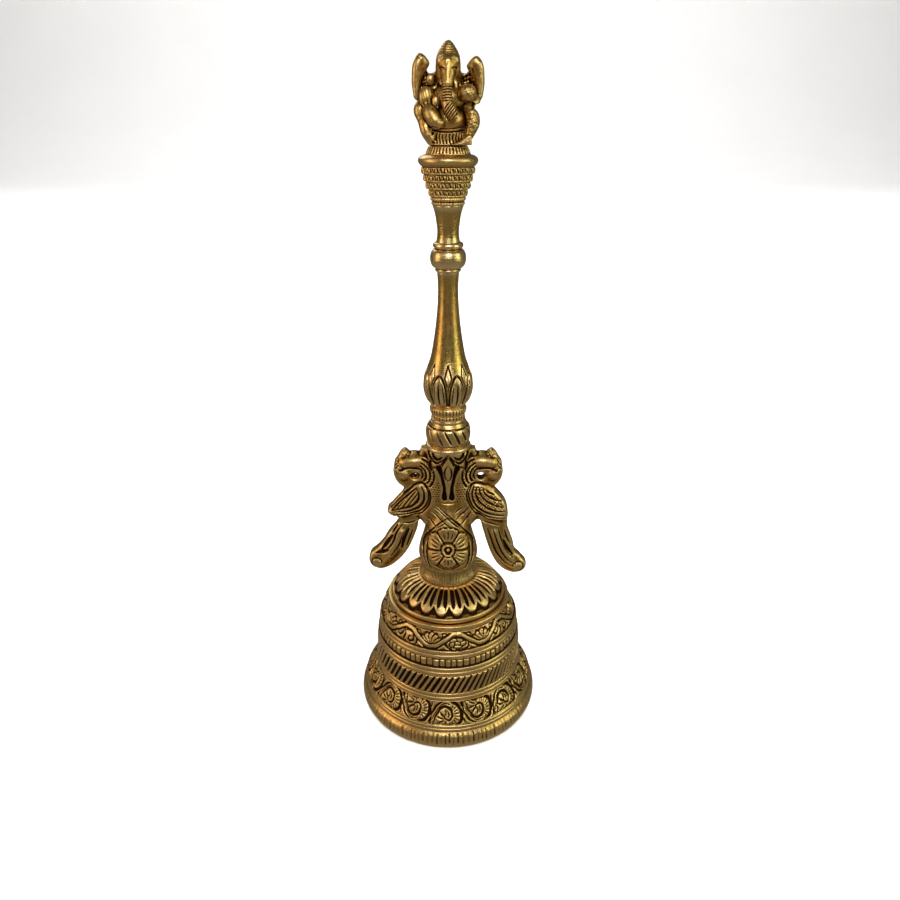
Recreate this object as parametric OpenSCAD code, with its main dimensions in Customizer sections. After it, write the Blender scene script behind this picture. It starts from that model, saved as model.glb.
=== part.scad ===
// Hand bell for puja, cast and turned brass, standing on its rim.
// Millimetres. +Z is up, the origin is the centre of the rim plane, the seated figure faces -Y.
// The handle is a stack of turned pieces drawn together by one tie rod, with the figure as its top nut.
// The clapper hangs in two crossed loops, so that it swings both ways.

/* [Bell] */
// Radius of the bell at its widest, on the lip
mouth_r = 30.5; // [29:0.1:32]
// Height of the bell from the rim plane to the flat of the crown
bell_h = 48.4; // [47.5:0.1:49]
// Wall thickness of the lip where the clapper strikes
lip_wall = 2.45; // [1.8:0.05:3]
// Thickness of the flat crown
crown_wall = 2.4; // [1.8:0.1:3]
// Height of the turned ridges above the skin
ridge_h = 0.45; // [0.2:0.05:0.7]

/* [Handle] */
// Height of the whole bell with its handle
overall_h = 203.2; // [200:0.1:206]
// Radius of the tie rod down the middle of the handle
tie_rod_r = 1.2; // [1:0.05:1.4]
// Half thickness of the bird plate of the bridge
bird_half_t = 2.9; // [2:0.1:4]
// Half thickness of the middle of the bridge
stem_half_t = 4.6; // [4:0.1:6]
// Number of slanted flutes around the collar
flute_count = 16; // [8:1:24]

/* [Clapper] */
// Radius of the clapper ball
ball_r = 6; // [4.5:0.1:6.5]
// Height of the centre of the clapper ball when it hangs at rest
ball_z = 8.3; // [7.5:0.1:10]
// Radius of the eyebolt shank
shank_r = 2; // [1.6:0.1:2.2]
// Gap between the loops that hang in each other
loop_gap = 0.3; // [0.2:0.05:0.4]

/* [Hidden] */
$fn = 96;
fit = 0.05;            // radial clearance of a shank in its bore

// Heights of the joints in the stack, from the crown up
flange_z0 = bell_h;
bridge_z0 = 54;
seat_z0 = 94.2;
collar_z0 = 95.9;
thin_ring_z0 = 103.4;
knurl_z0 = 104.4;
bead_ring_z0 = 105.7;
grip_z0 = 108.4;
knop_z0 = 147.6;
neck_z0 = 155.4;
capital_ring_z0 = 165;
capital_z0 = 167.2;
figure_z0 = 177.4;

// Clapper loops: wire radii, ring radii and the heights that follow from hanging in each other
eye_wire_r = 1.05;
eye_ring_r = 3.3;
eye_z = 37.4;
link_wire_r = 0.9;
link_end_r = 2.4;
link_straight = 5;
rod_wire_r = 1;
rod_loop_r = 2.6;
rod_r = 1.3;
link_pivot_z = eye_z - eye_ring_r;
link_top_z = link_pivot_z + eye_wire_r + link_wire_r + loop_gap - link_end_r;
clapper_pivot_z = link_top_z - link_straight - link_end_r;
rod_loop_z = clapper_pivot_z + link_wire_r + rod_wire_r + loop_gap - rod_loop_r;

crown_under_z = bell_h - crown_wall;
washer_t = 1;
nut_t = 2.8;
washer_z0 = crown_under_z - washer_t;
nut_z0 = washer_z0 - nut_t;
eyebolt_top = 64;
tie_rod_z0 = 84;
tie_rod_z1 = 183;

bright_brass = [0.80, 0.63, 0.30];
old_brass = [0.66, 0.50, 0.23];
dark_brass = [0.48, 0.36, 0.17];
iron = [0.33, 0.31, 0.29];

// ---- outlines ----------------------------------------------------------------------------

// One point of a smooth curve between b and c, at t from 0 to 1
function between(a, b, c, d, t) =
    b + 0.5 * t * (c - a + t * (2 * a - 5 * b + 4 * c - d + t * (3 * (b - c) + d - a)));

// A smooth curve through the stations, with n steps from each to the next
function smooth(p, n = 4) =
    let (last = len(p) - 1)
    [for (i = [0 : last - 1], k = [0 : n - 1])
        between(p[max(i - 1, 0)], p[i], p[i + 1], p[min(i + 2, last)], k / n),
     p[last]];

// A half-round ridge of width w and height h on a skin of radius r, centred at height z
function ridge(r, z, w, h) = [for (a = [0 : 30 : 180]) [r + h * sin(a), z - w / 2 * cos(a)]];

// Two ridges side by side, which meet in a groove at height z
function ridge_pair(r0, r1, z, w, h = ridge_h) =
    concat(ridge(r0, z - w / 2, w, h), ridge(r1, z + w / 2, w, h));

// The rounded outer edge of a ring between two heights
function bulge(r, z0, z1, depth) =
    [for (a = [0 : 15 : 180]) [r - depth + depth * sin(a), (z0 + z1) / 2 - (z1 - z0) / 2 * cos(a)]];

// ---- turned pieces -----------------------------------------------------------------------

// Turns an outline, given from the bottom up, around Z, with a bore down its middle
module turned(outline, bore = tie_rod_r + fit) {
    last = len(outline) - 1;
    rotate_extrude()
        polygon(concat([[bore, outline[0][1]]], outline, [[bore, outline[last][1]]]));
}

// A limb between two points, with a ball at its far end that is a little fatter than the limb
module limb(a, b, r) {
    d = b - a;
    translate(b) sphere(r, $fn = 32);
    translate(a)
        rotate([0, acos(d[2] / norm(d)), atan2(d[1], d[0])])
            cylinder(h = norm(d), r = 0.88 * r, $fn = 32);
}

// ---- bell --------------------------------------------------------------------------------

// Outer skin of the bell from the rim to the crown: lip, scroll band, hatched band, bead band,
// vine band and petalled shoulder, parted by pairs of ridges
function bell_outside() = concat(
    smooth([[mouth_r - 0.55, 0], [mouth_r - 0.05, 1.2], [mouth_r, 2.6], [mouth_r - 0.5, 4.4],
            [mouth_r - 1.5, 5.6]]),
    ridge_pair(mouth_r - 1.8, mouth_r - 1.9, 6.9, 1.3),
    smooth([[mouth_r - 1.8, 8.3], [mouth_r - 2.3, 9.5], [mouth_r - 3.7, 12], [mouth_r - 5.4, 15]]),
    ridge_pair(mouth_r - 5.9, mouth_r - 6.1, 16.4, 1.4),
    smooth([[mouth_r - 6.1, 17.9], [mouth_r - 6.2, 21], [mouth_r - 6.3, 24.3]]),
    ridge_pair(mouth_r - 6.6, mouth_r - 6.7, 26, 1.6),
    smooth([[mouth_r - 6.8, 27.8], [mouth_r - 6.9, 29.5], [mouth_r - 7.1, 31]]),
    ridge_pair(mouth_r - 7.4, mouth_r - 7.6, 32.3, 1.5),
    smooth([[mouth_r - 7.8, 33.9], [mouth_r - 8.7, 36.5], [mouth_r - 10.1, 39]]),
    ridge_pair(mouth_r - 10.6, mouth_r - 12, 41, 1.8),
    smooth([[mouth_r - 12.5, 42.9], [mouth_r - 13.2, 44.2], [mouth_r - 14.6, 45.8],
            [mouth_r - 17, bell_h - 1.1], [mouth_r - 21, bell_h]]));

// Inside of the bell from the rim to the flat under the crown
function bell_inside() = concat(
    smooth([[mouth_r - 0.55 - lip_wall, 0], [mouth_r - 3.3, 3], [mouth_r - 4.6, 8], [mouth_r - 6.4, 12],
            [mouth_r - 8, 16], [mouth_r - 8.6, 22], [mouth_r - 9, 28], [mouth_r - 9.9, 33],
            [mouth_r - 11.8, 38], [mouth_r - 14.7, 42.2], [mouth_r - 18.2, 44.9],
            [mouth_r - 22, crown_under_z]], 3));

module bell_cup() {
    color(old_brass)
        rotate_extrude($fn = 128)
            polygon(concat(bell_outside(), [[shank_r + fit, bell_h], [shank_r + fit, crown_under_z]],
                           [for (i = [len(bell_inside()) - 1 : -1 : 0]) bell_inside()[i]]));
}

module crown_flange() {
    color(bright_brass)
        turned(smooth([[8.9, flange_z0], [9.5, flange_z0 + 0.7], [9.5, flange_z0 + 1.5],
                       [9, flange_z0 + 2.9], [8.6, flange_z0 + 4.3], [8.5, bridge_z0]]), shank_r + fit);
}

// ---- bridge with two birds ---------------------------------------------------------------

// The -X bird seen from the front, with a pointed wing: tail, wing and breast, in -X and Z
function pointed_bird() = smooth([
    [5, 70], [8.8, 68.4], [10.8, 64], [12.6, 59], [14.8, 55.6], [18.4, 52.1], [22.4, 50.4], [25.3, 52],
    [25.8, 55.2], [23, 58.6], [20.6, 61.8], [18.4, 65.6], [16.2, 68.8], [18.6, 72.2], [16, 76.4],
    [13.5, 79.4], [10.4, 82], [8, 86], [5, 88]], 3);

// The +X bird, with a round wing, in X and Z
function round_bird() = smooth([
    [5, 70], [8.8, 68.8], [11, 65.6], [12.8, 60], [14.6, 55.4], [17.6, 50.8], [21.6, 49.1], [24.9, 50.6],
    [25, 54], [22.3, 57], [20.5, 61.8], [19.2, 66.4], [18.9, 72], [17.2, 76.4], [14.6, 79.4], [10.4, 82],
    [8, 86], [5, 88]], 3);

// The head that bends outwards and down over the wing, with its crest
function head_outline() = smooth([
    [4, 84], [9, 81.2], [12.4, 80.6], [14.8, 81], [16.4, 83.4], [17, 86.6], [16.4, 90], [14.4, 92.8],
    [12.4, 92.4], [9.8, 91.6], [8.6, 94.2], [4, 93.6]], 3);

module bird_plate(body_outline) {
    translate([0, bird_half_t, 0])
        rotate([90, 0, 0])
            linear_extrude(2 * bird_half_t) {
                polygon(body_outline);
                polygon(head_outline());
            }
}

// The bulb with the flower, flattened where the plate runs into it, and the stem up to the collar
module peacock_bridge() {
    flower_z = 60.8;
    flower_r = 4.6;
    color(old_brass)
        difference() {
            union() {
                turned(smooth([[8.7, bridge_z0], [9.6, 55.4], [9.7, 57.2], [9.2, 60], [8.3, 63], [7.6, 65.6],
                               [7, 68.4], [5.6, 72.4], [4.4, 76]]), 0);
                translate([-8.6, -stem_half_t, 67.8]) cube([17.2, 2 * stem_half_t, 13.2]);
                translate([-6.6, -stem_half_t, 80.9]) cube([13.2, 2 * stem_half_t, 8.6]);
                translate([0, 0, 82]) cylinder(h = seat_z0 - 82, r = 6.2);
                bird_plate(round_bird());
                mirror([1, 0, 0]) bird_plate(pointed_bird());
                translate([0, -8.2, flower_z]) rotate([90, 0, 0]) cylinder(h = 1.8, r = flower_r);
                translate([0, -9.5, flower_z]) rotate([90, 0, 0]) cylinder(h = 1.2, r = 2);
                for (side = [-1, 1])
                    translate([side * 13.9, 0, 87]) sphere(4, $fn = 48);
            }
            cylinder(h = eyebolt_top + fit, r = shank_r + fit);
            translate([0, 0, tie_rod_z0 - fit]) cylinder(h = 30, r = tie_rod_r + fit);
        }
}

// ---- stacked rings of the handle -----------------------------------------------------------

module collar_seat() {
    color(bright_brass) turned(bulge(7, seat_z0, collar_z0, 0.7));
}

// The collar keeps its flutes as slanted grooves cut around its belly
module fluted_collar() {
    groove_r = 0.35;
    groove_len = 8;
    lean = 28;
    color(old_brass)
        difference() {
            turned(smooth([[6, collar_z0], [6.5, 97.6], [6.85, 99.8], [6.5, 101.6], [5.5, thin_ring_z0]]));
            for (i = [0 : flute_count - 1])
                rotate([0, 0, i * 360 / flute_count])
                    translate([6.95, 0, 99.4])
                        rotate([lean, 0, 0])
                            cylinder(h = groove_len, r = groove_r, center = true, $fn = 16);
        }
}

module thin_ring() {
    color(bright_brass) turned(bulge(5.3, thin_ring_z0, knurl_z0, 0.4));
}

module knurled_ring() {
    notch_count = 28;
    color(old_brass)
        difference() {
            turned([[5, knurl_z0], [5.1, knurl_z0 + 0.3], [5.1, bead_ring_z0 - 0.3], [5, bead_ring_z0]]);
            for (i = [0 : notch_count - 1])
                rotate([0, 0, i * 360 / notch_count])
                    translate([5.25, 0, knurl_z0 + 0.65])
                        cylinder(h = 1, r = 0.25, center = true, $fn = 16);
        }
}

module bead_ring() {
    color(bright_brass) turned(bulge(5.6, bead_ring_z0, grip_z0, 0.9));
}

module grip_baluster() {
    color(bright_brass)
        turned(smooth([[5, grip_z0], [6.2, 110.2], [7.1, 112.6], [7.35, 114.8], [7.1, 117.3], [6.2, 120],
                       [5, 123.6], [3.9, 130], [3.1, 137], [2.85, 143], [3.1, knop_z0]], 5));
}

module knop() {
    color(bright_brass)
        turned(concat(bulge(3.6, knop_z0, 148.5, 0.3), bulge(5, 148.6, 153.8, 1.5),
                      bulge(4.2, 153.9, neck_z0, 0.6)));
}

module vase_neck() {
    color(bright_brass)
        turned(smooth([[3.3, neck_z0], [2.95, 157.6], [3.1, 160], [3.55, 162.8], [4.2, capital_ring_z0]]));
}

module capital_ring() {
    color(old_brass)
        turned(concat(bulge(4.5, capital_ring_z0, 166, 0.4), bulge(4.75, 166.1, capital_z0, 0.4)));
}

// Short tiers that widen upwards, one on the other, under a smooth bevelled rim
module capital() {
    tier_h = 1.85;
    tier_r = [5.3, 6.05, 6.65, 7.15];
    rim_z = capital_z0 + len(tier_r) * tier_h;
    color(old_brass)
        turned(concat([for (i = [0 : len(tier_r) - 1])
                          let (z = capital_z0 + i * tier_h)
                              each bulge(tier_r[i], z + 0.05, z + tier_h - 0.05, 0.45)],
                      smooth([[7.1, rim_z + 0.1], [7.7, rim_z + 0.8], [7.85, rim_z + 1.5], [7.6, rim_z + 2.1],
                              [6.9, rim_z + 2.6], [6.2, figure_z0]], 3)));
}

// ---- seated figure -------------------------------------------------------------------------

// A smooth blade that each upper hand holds up, seen from the front on the +X side
function blade_outline() = smooth([
    [8.6, 191], [9, 193.4], [8.9, 196.4], [8.5, 198.8], [7.4, 200.4], [6.1, 200.2], [4.8, 198.6], [5, 197.4],
    [6.1, 195.8], [6.7, 193], [7.4, 190.6]], 3);

// Shoulders, arms and drawn-up knees behind the head and belly, down to the seat
function shoulder_outline() = smooth([
    [0, 180], [4.6, 180.6], [6.1, 182.4], [7, 184.4], [7.8, 186.4], [6.9, 188.6], [7.9, 190.8], [8, 192.8],
    [6.4, 195.4], [4.6, 196.8], [0, 196.5]], 3);

// Plates of the given outline on both sides, of half thickness t and centred at depth y
module both_sides(outline, t, y = 0) {
    for (side = [0, 1])
        mirror([side, 0, 0])
            translate([0, y + t, 0])
                rotate([90, 0, 0])
                    linear_extrude(2 * t)
                        polygon(outline);
}

// Seated elephant-headed figure in blunt forms: seat, folded legs, belly, arms, head, trunk and crown
module deity_finial() {
    head_z = 195.8;
    trunk_beads = 9;
    color(old_brass)
        difference() {
            union() {
                turned(smooth([[5.8, figure_z0], [5.2, 178.8], [4.9, 180.6]]), 0);
                turned(smooth([[4.9, 180.5], [5.2, 183], [4.9, 186.5], [4.2, 191], [3.4, 194.5]]), 0);
                translate([0, -1.4, 185.8]) sphere(4.3, $fn = 48);
                translate([0, -0.4, head_z]) sphere(3.2, $fn = 48);
                turned(smooth([[3.05, head_z + 0.6], [3, 198.6], [2.6, 200], [1.9, 201.4], [1, 202.6],
                               [0.1, overall_h]]), 0);
                both_sides(blade_outline(), 1.05);
                both_sides(shoulder_outline(), 1.4, 0.4);
                for (side = [-1, 1])
                    translate([side * 4.9, -2.6, 191.3]) sphere(2, $fn = 32);
                limb([-5.6, -2.2, 182], [-7.1, -1.2, 187.8], 1.4);
                limb([4.6, -3.4, 181.2], [6.1, -2.6, 185.8], 1.7);
                limb([1, -4.8, 180.2], [4.4, -4.4, 180.6], 1);
                for (i = [0 : trunk_beads - 1])
                    let (t = i / (trunk_beads - 1))
                        translate([1.2 * t * t, -3.2 - 2 * sin(150 * t), head_z - 1 - 8.4 * t])
                            sphere(1.45 - 0.5 * t, $fn = 32);
            }
            cylinder(h = tie_rod_z1 + fit, r = tie_rod_r + fit);
        }
}

// ---- fastenings ----------------------------------------------------------------------------

module tie_rod() {
    color(iron) translate([0, 0, tie_rod_z0]) cylinder(h = tie_rod_z1 - tie_rod_z0, r = tie_rod_r);
}

// A ring of wire that stands in the plane of Y and Z
module upright_ring(ring_r, wire_r) {
    rotate([0, 90, 0]) rotate_extrude() translate([ring_r, 0]) circle(wire_r, $fn = 32);
}

module crown_eyebolt() {
    color(iron) {
        translate([0, 0, eye_z]) upright_ring(eye_ring_r, eye_wire_r);
        translate([0, 0, eye_z + eye_ring_r])
            cylinder(h = eyebolt_top - eye_z - eye_ring_r, r = shank_r);
    }
}

module crown_washer() {
    color(bright_brass) turned([[6.5, washer_z0], [6.5, crown_under_z]], shank_r + fit);
}

module crown_nut() {
    color(dark_brass)
        translate([0, 0, nut_z0])
            difference() {
                cylinder(h = nut_t, r = 4.6, $fn = 6);
                translate([0, 0, -1]) cylinder(h = nut_t + 2, r = shank_r + fit);
            }
}

// ---- clapper -------------------------------------------------------------------------------

// One end of the link: a half ring of wire in the plane of X and Z, open downwards
module link_end() {
    rotate([90, 0, 0])
        rotate_extrude(angle = 180) translate([link_end_r, 0]) circle(link_wire_r, $fn = 32);
}

module clapper_link() {
    color(iron)
        translate([0, 0, link_top_z]) {
            link_end();
            translate([0, 0, -link_straight]) mirror([0, 0, 1]) link_end();
            for (side = [-1, 1])
                translate([side * link_end_r, 0, -link_straight])
                    cylinder(h = link_straight, r = link_wire_r, $fn = 32);
        }
}

module clapper_rod() {
    color(iron) {
        translate([0, 0, rod_loop_z]) upright_ring(rod_loop_r, rod_wire_r);
        translate([0, 0, ball_z - ball_r])
            cylinder(h = rod_loop_z - rod_loop_r - ball_z + ball_r, r = rod_r, $fn = 48);
    }
}

module clapper_ball() {
    neck_r = 2.3;
    color(old_brass)
        translate([0, 0, ball_z])
            turned(concat([for (a = [-70 : 10 : 60]) ball_r * [cos(a), sin(a)]], [[neck_r, ball_r + 0.4]]),
                   rod_r + fit);
}

bell_cup();
crown_flange();
peacock_bridge();
collar_seat();
fluted_collar();
thin_ring();
knurled_ring();
bead_ring();
grip_baluster();
knop();
vase_neck();
capital_ring();
capital();
deity_finial();
tie_rod();
crown_eyebolt();
crown_washer();
crown_nut();
clapper_link();
clapper_rod();
clapper_ball();
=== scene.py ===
"""Looks of the brass hand bell: relief, seated figure, birds, clapper, aged brass and studio.

Every visible piece takes the place of one CAD node, and reads its heights and radii from that node's box.
Lengths inside the shape functions are millimetres, and solid_from() turns them into metres.
Angles around the axis start at the front (-Y) and grow towards +X.
"""

import functools
import math

import bpy
import numpy as np
import openvdb
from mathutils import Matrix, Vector

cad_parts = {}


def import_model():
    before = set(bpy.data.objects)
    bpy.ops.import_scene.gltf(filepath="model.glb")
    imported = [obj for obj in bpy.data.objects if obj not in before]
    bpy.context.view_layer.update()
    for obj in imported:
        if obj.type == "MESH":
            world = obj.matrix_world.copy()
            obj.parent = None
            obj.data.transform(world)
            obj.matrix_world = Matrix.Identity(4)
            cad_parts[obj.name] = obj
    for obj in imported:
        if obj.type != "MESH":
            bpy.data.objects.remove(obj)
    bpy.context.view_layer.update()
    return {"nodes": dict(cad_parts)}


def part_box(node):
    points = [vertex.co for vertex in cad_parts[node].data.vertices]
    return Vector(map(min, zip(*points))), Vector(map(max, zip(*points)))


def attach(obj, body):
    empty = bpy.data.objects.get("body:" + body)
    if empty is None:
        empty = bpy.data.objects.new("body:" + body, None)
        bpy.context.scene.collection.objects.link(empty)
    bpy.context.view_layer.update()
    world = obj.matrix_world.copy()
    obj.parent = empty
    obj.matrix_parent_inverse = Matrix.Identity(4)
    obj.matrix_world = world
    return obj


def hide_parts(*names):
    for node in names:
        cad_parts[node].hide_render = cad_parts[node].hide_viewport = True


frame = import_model()
MM = 0.001
TAU = 2 * math.pi
BORE = 1.3                 # radius of the hole down the turned pieces, just over the tie rod's
SIDES = (-1, 1)


# ---- small helpers -------------------------------------------------------------------------


def ramp(low, high, x):
    """0 below low, 1 above high and a smooth step between."""
    t = np.clip((x - low) / (high - low), 0, 1)
    return t * t * (3 - 2 * t)


def window(low, high, x, soft):
    """1 inside low to high, falling to 0 over the soft width at both ends."""
    return ramp(low, low + soft, x) * ramp(high, high - soft, x)


def cord(distance, half_width):
    """Rounded section of a raised cord or a cut groove: 1 on its middle line, 0 from half_width out."""
    return np.sqrt(np.clip(1 - (distance / half_width) ** 2, 0, 1))


def deepest(*cuts):
    """The deepest of several cuts at each point."""
    return functools.reduce(np.maximum, cuts)


def wrap(x):
    """The part of x past its nearest whole number, from -0.5 to 0.5."""
    return x - np.round(x)


def soft_min(a, b, width):
    """The smaller of two distances, with a fillet of about the given width where they meet."""
    h = np.clip(0.5 + 0.5 * (b - a) / width, 0, 1)
    return b + (a - b) * h - width * h * (1 - h)


def node_z(node):
    """Lowest and highest point of a CAD node, in millimetres."""
    low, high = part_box(node)
    return low.z / MM, high.z / MM


def node_r(node):
    """Largest X of a CAD node, in millimetres: the radius of a turned one."""
    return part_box(node)[1].x / MM


def rounded(points, steps=6, closed=False):
    """A smooth curve through given points of any dimension (Catmull-Rom)."""
    p = np.asarray(points, float)
    if closed:
        p = np.vstack([p[-1:], p, p[:2]])
    else:
        p = np.vstack([2 * p[0] - p[1], p, 2 * p[-1] - p[-2]])
    t = np.linspace(0, 1, steps, endpoint=False)[:, None]
    pieces = []
    for a, b, c, d in zip(p[:-3], p[1:-2], p[2:-1], p[3:]):
        pieces.append(
            b + 0.5 * t * (c - a + t * (2 * a - 5 * b + 4 * c - d + t * (3 * (b - c) + d - a)))
        )
    return np.vstack(pieces if closed else pieces + [p[-2:-1]])


def to_curve(x, y, points):
    """Distance from each (x, y) to an open line through the points, and how far along it, from 0 to 1."""
    points = np.asarray(points, float)
    legs = np.hypot(*(points[1:] - points[:-1]).T)
    run = np.concatenate([[0], np.cumsum(legs)]) / legs.sum()
    best = np.full(np.broadcast(x, y).shape, np.inf)
    along = np.zeros(best.shape)
    for (ax, ay), (bx, by), start, end in zip(points[:-1], points[1:], run[:-1], run[1:]):
        dx, dy = bx - ax, by - ay
        t = np.clip(((x - ax) * dx + (y - ay) * dy) / (dx * dx + dy * dy), 0, 1)
        d = np.hypot(x - ax - t * dx, y - ay - t * dy)
        nearer = d < best
        best = np.where(nearer, d, best)
        along = np.where(nearer, start + t * (end - start), along)
    return best, along


def to_outline(x, y, loop):
    """Signed distance from each (x, y) to a closed outline: negative inside."""
    best = np.full(np.broadcast(x, y).shape, np.inf)
    inside = np.zeros(best.shape, bool)
    for (ax, ay), (bx, by) in zip(loop, np.roll(loop, -1, axis=0)):
        dx, dy = bx - ax, by - ay
        t = np.clip(((x - ax) * dx + (y - ay) * dy) / (dx * dx + dy * dy + 1e-12), 0, 1)
        best = np.minimum(best, np.hypot(x - ax - t * dx, y - ay - t * dy))
        if ay != by:
            inside ^= ((ay > y) != (by > y)) & (x < ax + (y - ay) / (by - ay) * dx)
    return np.where(inside, -best, best)


def engraved(x, y, lines, half=0.2, depth=0.3):
    """Depth of cuts that follow smooth lines and taper to both ends."""
    cut = np.zeros(np.broadcast(x, y).shape)
    for line in lines:
        distance, along = to_curve(x, y, rounded(line, 5))
        width = half * (0.45 + 0.55 * np.sin(np.pi * along))
        cut = np.maximum(cut, depth * cord(distance, width))
    return cut


# ---- meshes ---------------------------------------------------------------------------------


def spread(mesh, points, passes):
    """The points after each one has moved to the middle of its neighbours, passes times over."""
    edges = np.zeros(len(mesh.edges) * 2, np.int32)
    mesh.edges.foreach_get("vertices", edges)
    a, b = edges.reshape(-1, 2).T
    count = len(points)
    share = 1 / np.maximum(np.bincount(a, minlength=count) + np.bincount(b, minlength=count), 1)
    for _ in range(passes):
        total = np.empty_like(points)
        for axis in range(3):
            total[:, axis] = np.bincount(a, points[b, axis], count) + np.bincount(b, points[a, axis], count)
        points = total * share[:, None]
    return points


def mark_recesses(mesh, fine=6, broad=40):
    """Stores how deep each point lies below its surroundings, for the patina: 0.5 is level, 1 is deep."""
    count = len(mesh.vertices)
    points = np.zeros(count * 3)
    normals = np.zeros(count * 3)
    mesh.vertices.foreach_get("co", points)
    mesh.vertex_normals.foreach_get("vector", normals)
    points = points.reshape(-1, 3) / MM
    normals = normals.reshape(-1, 3)
    near = spread(mesh, points, fine)
    far = spread(mesh, near, broad)
    fine_depth = ((near - points) * normals).sum(1)
    broad_depth = ((far - points) * normals).sum(1)
    below = fine_depth * 5 + broad_depth * 1.8
    mesh.attributes.new("recess", "FLOAT", "POINT")
    mesh.attributes["recess"].data.foreach_set("value", np.clip(0.5 + below, 0, 1).astype(np.float32))


def solid_from(name, points, quads, slot, body, stands_for):
    """A smooth-shaded piece from points in millimetres and quads, riding on a body in place of CAD nodes."""
    mesh = bpy.data.meshes.new(name)
    mesh.from_pydata(np.asarray(points, float) * MM, [], quads)
    mesh.update()
    mesh.polygons.foreach_set("use_smooth", [True] * len(mesh.polygons))
    mark_recesses(mesh)
    piece = bpy.data.objects.new(name, mesh)
    bpy.context.scene.collection.objects.link(piece)
    mesh.materials.append(MATERIALS[slot])
    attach(piece, body)
    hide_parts(*stands_for)


def upwards(loop):
    """The closed outline run so that it climbs its outer side."""
    r, z = loop.T
    area = (r * np.roll(z, -1) - np.roll(r, -1) * z).sum()
    return loop if area > 0 else loop[::-1]


def outline_of(node):
    """The section of a turned CAD node on its +X side: a closed loop of (radius, z), up its outer side."""
    mesh = frame["nodes"][node].data
    keys = {}
    for v in mesh.vertices:
        if abs(v.co.y) < 1e-6 and v.co.x > 0:
            keys[v.index] = (round(v.co.x / MM, 3), round(v.co.z / MM, 3))
    links = {}
    for e in mesh.edges:
        a, b = (keys.get(i) for i in e.vertices)
        if a and b and a != b:
            links.setdefault(a, set()).add(b)
            links.setdefault(b, set()).add(a)
    start = min(links, key=lambda k: (k[1], -k[0]))
    loop = [start, next(iter(links[start]))]
    while loop[-1] != start:
        ahead = links[loop[-1]] - {loop[-2]}
        loop.append(ahead.pop())
    return upwards(np.array(loop[:-1]))


def finer(loop, step):
    """A closed loop with points added so that none is more than step(r, z) from the next."""
    out = []
    for here, there in zip(loop, np.roll(loop, -1, axis=0)):
        middle = (here + there) / 2
        cuts = max(1, math.ceil(np.hypot(*(there - here)) / step(*middle)))
        out += [here + (there - here) * k / cuts for k in range(cuts)]
    return np.array(out)


def turned(name, loop, columns, relief, slot, stands_for, body="bell"):
    """A closed solid of revolution. relief(angle, r, z, normal) lifts its skin along the normal."""
    ahead = np.roll(loop, -1, axis=0) - np.roll(loop, 1, axis=0)
    normal = np.stack([ahead[:, 1], -ahead[:, 0]], 1)
    normal /= np.maximum(np.linalg.norm(normal, axis=1), 1e-9)[:, None]
    angle = np.arange(columns)[None, :] * TAU / columns
    r, z = loop[:, :1], loop[:, 1:]
    lift = np.broadcast_to(relief(angle, r, z, normal), (len(loop), columns))
    rr = r + lift * normal[:, :1]
    zz = z + lift * normal[:, 1:]
    points = np.stack([rr * np.sin(angle), -rr * np.cos(angle), zz], -1).reshape(-1, 3)
    i, j = np.meshgrid(np.arange(len(loop)), np.arange(columns), indexing="ij")
    i2, j2 = (i + 1) % len(loop), (j + 1) % columns
    quads = np.stack([i * columns + j, i * columns + j2, i2 * columns + j2, i2 * columns + j], -1)
    solid_from(name, points, quads.reshape(-1, 4), slot, body, stands_for)


# ---- clay: cast shapes as signed distance on a grid --------------------------------------------


def ball(centre, radii):
    """An ellipsoid with its axes along X, Y and Z."""
    cx, cy, cz = centre
    rx, ry, rz = np.broadcast_to(radii, 3)

    def form(x, y, z):
        u, v, w = (x - cx) / rx, (y - cy) / ry, (z - cz) / rz
        reach = np.sqrt(u * u + v * v + w * w)
        slope = np.sqrt((u / rx) ** 2 + (v / ry) ** 2 + (w / rz) ** 2)
        return reach * (reach - 1) / np.maximum(slope, 1e-6)

    return form, np.array([cx - rx, cy - ry, cz - rz]), np.array([cx + rx, cy + ry, cz + rz])


def limb(stations, flat=1, steps=5):
    """A tapering limb along a smooth curve. A station is (x, y, z, radius). flat thins it along Y."""
    line = rounded(stations, steps)

    def form(x, y, z):
        best = None
        for a, b in zip(line[:-1], line[1:]):
            leg = b - a
            length = max(leg[:3] @ leg[:3], 1e-9)
            t = np.clip(((x - a[0]) * leg[0] + (y - a[1]) * leg[1] + (z - a[2]) * leg[2]) / length, 0, 1)
            off = [w - c - t * step for w, c, step in zip((x, y, z), a, leg)]
            gap = np.sqrt(off[0] ** 2 + (off[1] * flat) ** 2 + off[2] ** 2) - a[3] - t * leg[3]
            best = gap if best is None else np.minimum(best, gap)
        return best

    reach = line[:, 3:].max()
    return form, line[:, :3].min(0) - reach, line[:, :3].max(0) + reach


def on_side(side, stations):
    """The stations with their X turned to the given side."""
    return [(side * x, *rest) for x, *rest in stations]


def lathe(stations):
    """A solid of revolution around Z through smooth stations of (radius, z)."""
    line = rounded(stations, 8)

    def form(x, y, z):
        skin = np.hypot(x, y) - np.interp(z, line[:, 1], line[:, 0])
        return np.maximum(skin, np.maximum(line[0, 1] - z, z - line[-1, 1]))

    reach = line[:, 0].max()
    return form, np.array([-reach, -reach, line[0, 1]]), np.array([reach, reach, line[-1, 1]])


def plate(outline, thick, edge, y0=0.0):
    """A cushion-edged plate in the plane of X and Z. thick is its half thickness."""
    loop = rounded(outline, 5, closed=True)

    def form(x, y, z):
        side = to_outline(x, z, loop) + edge
        face = np.abs(y - y0) - thick + edge
        inside = np.minimum(np.maximum(side, face), 0)
        return np.hypot(np.maximum(side, 0), np.maximum(face, 0)) + inside - edge

    (x0, z0), (x1, z1) = loop.min(0), loop.max(0)
    return form, np.array([x0, y0 - thick, z0]), np.array([x1, y0 + thick, z1])


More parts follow.
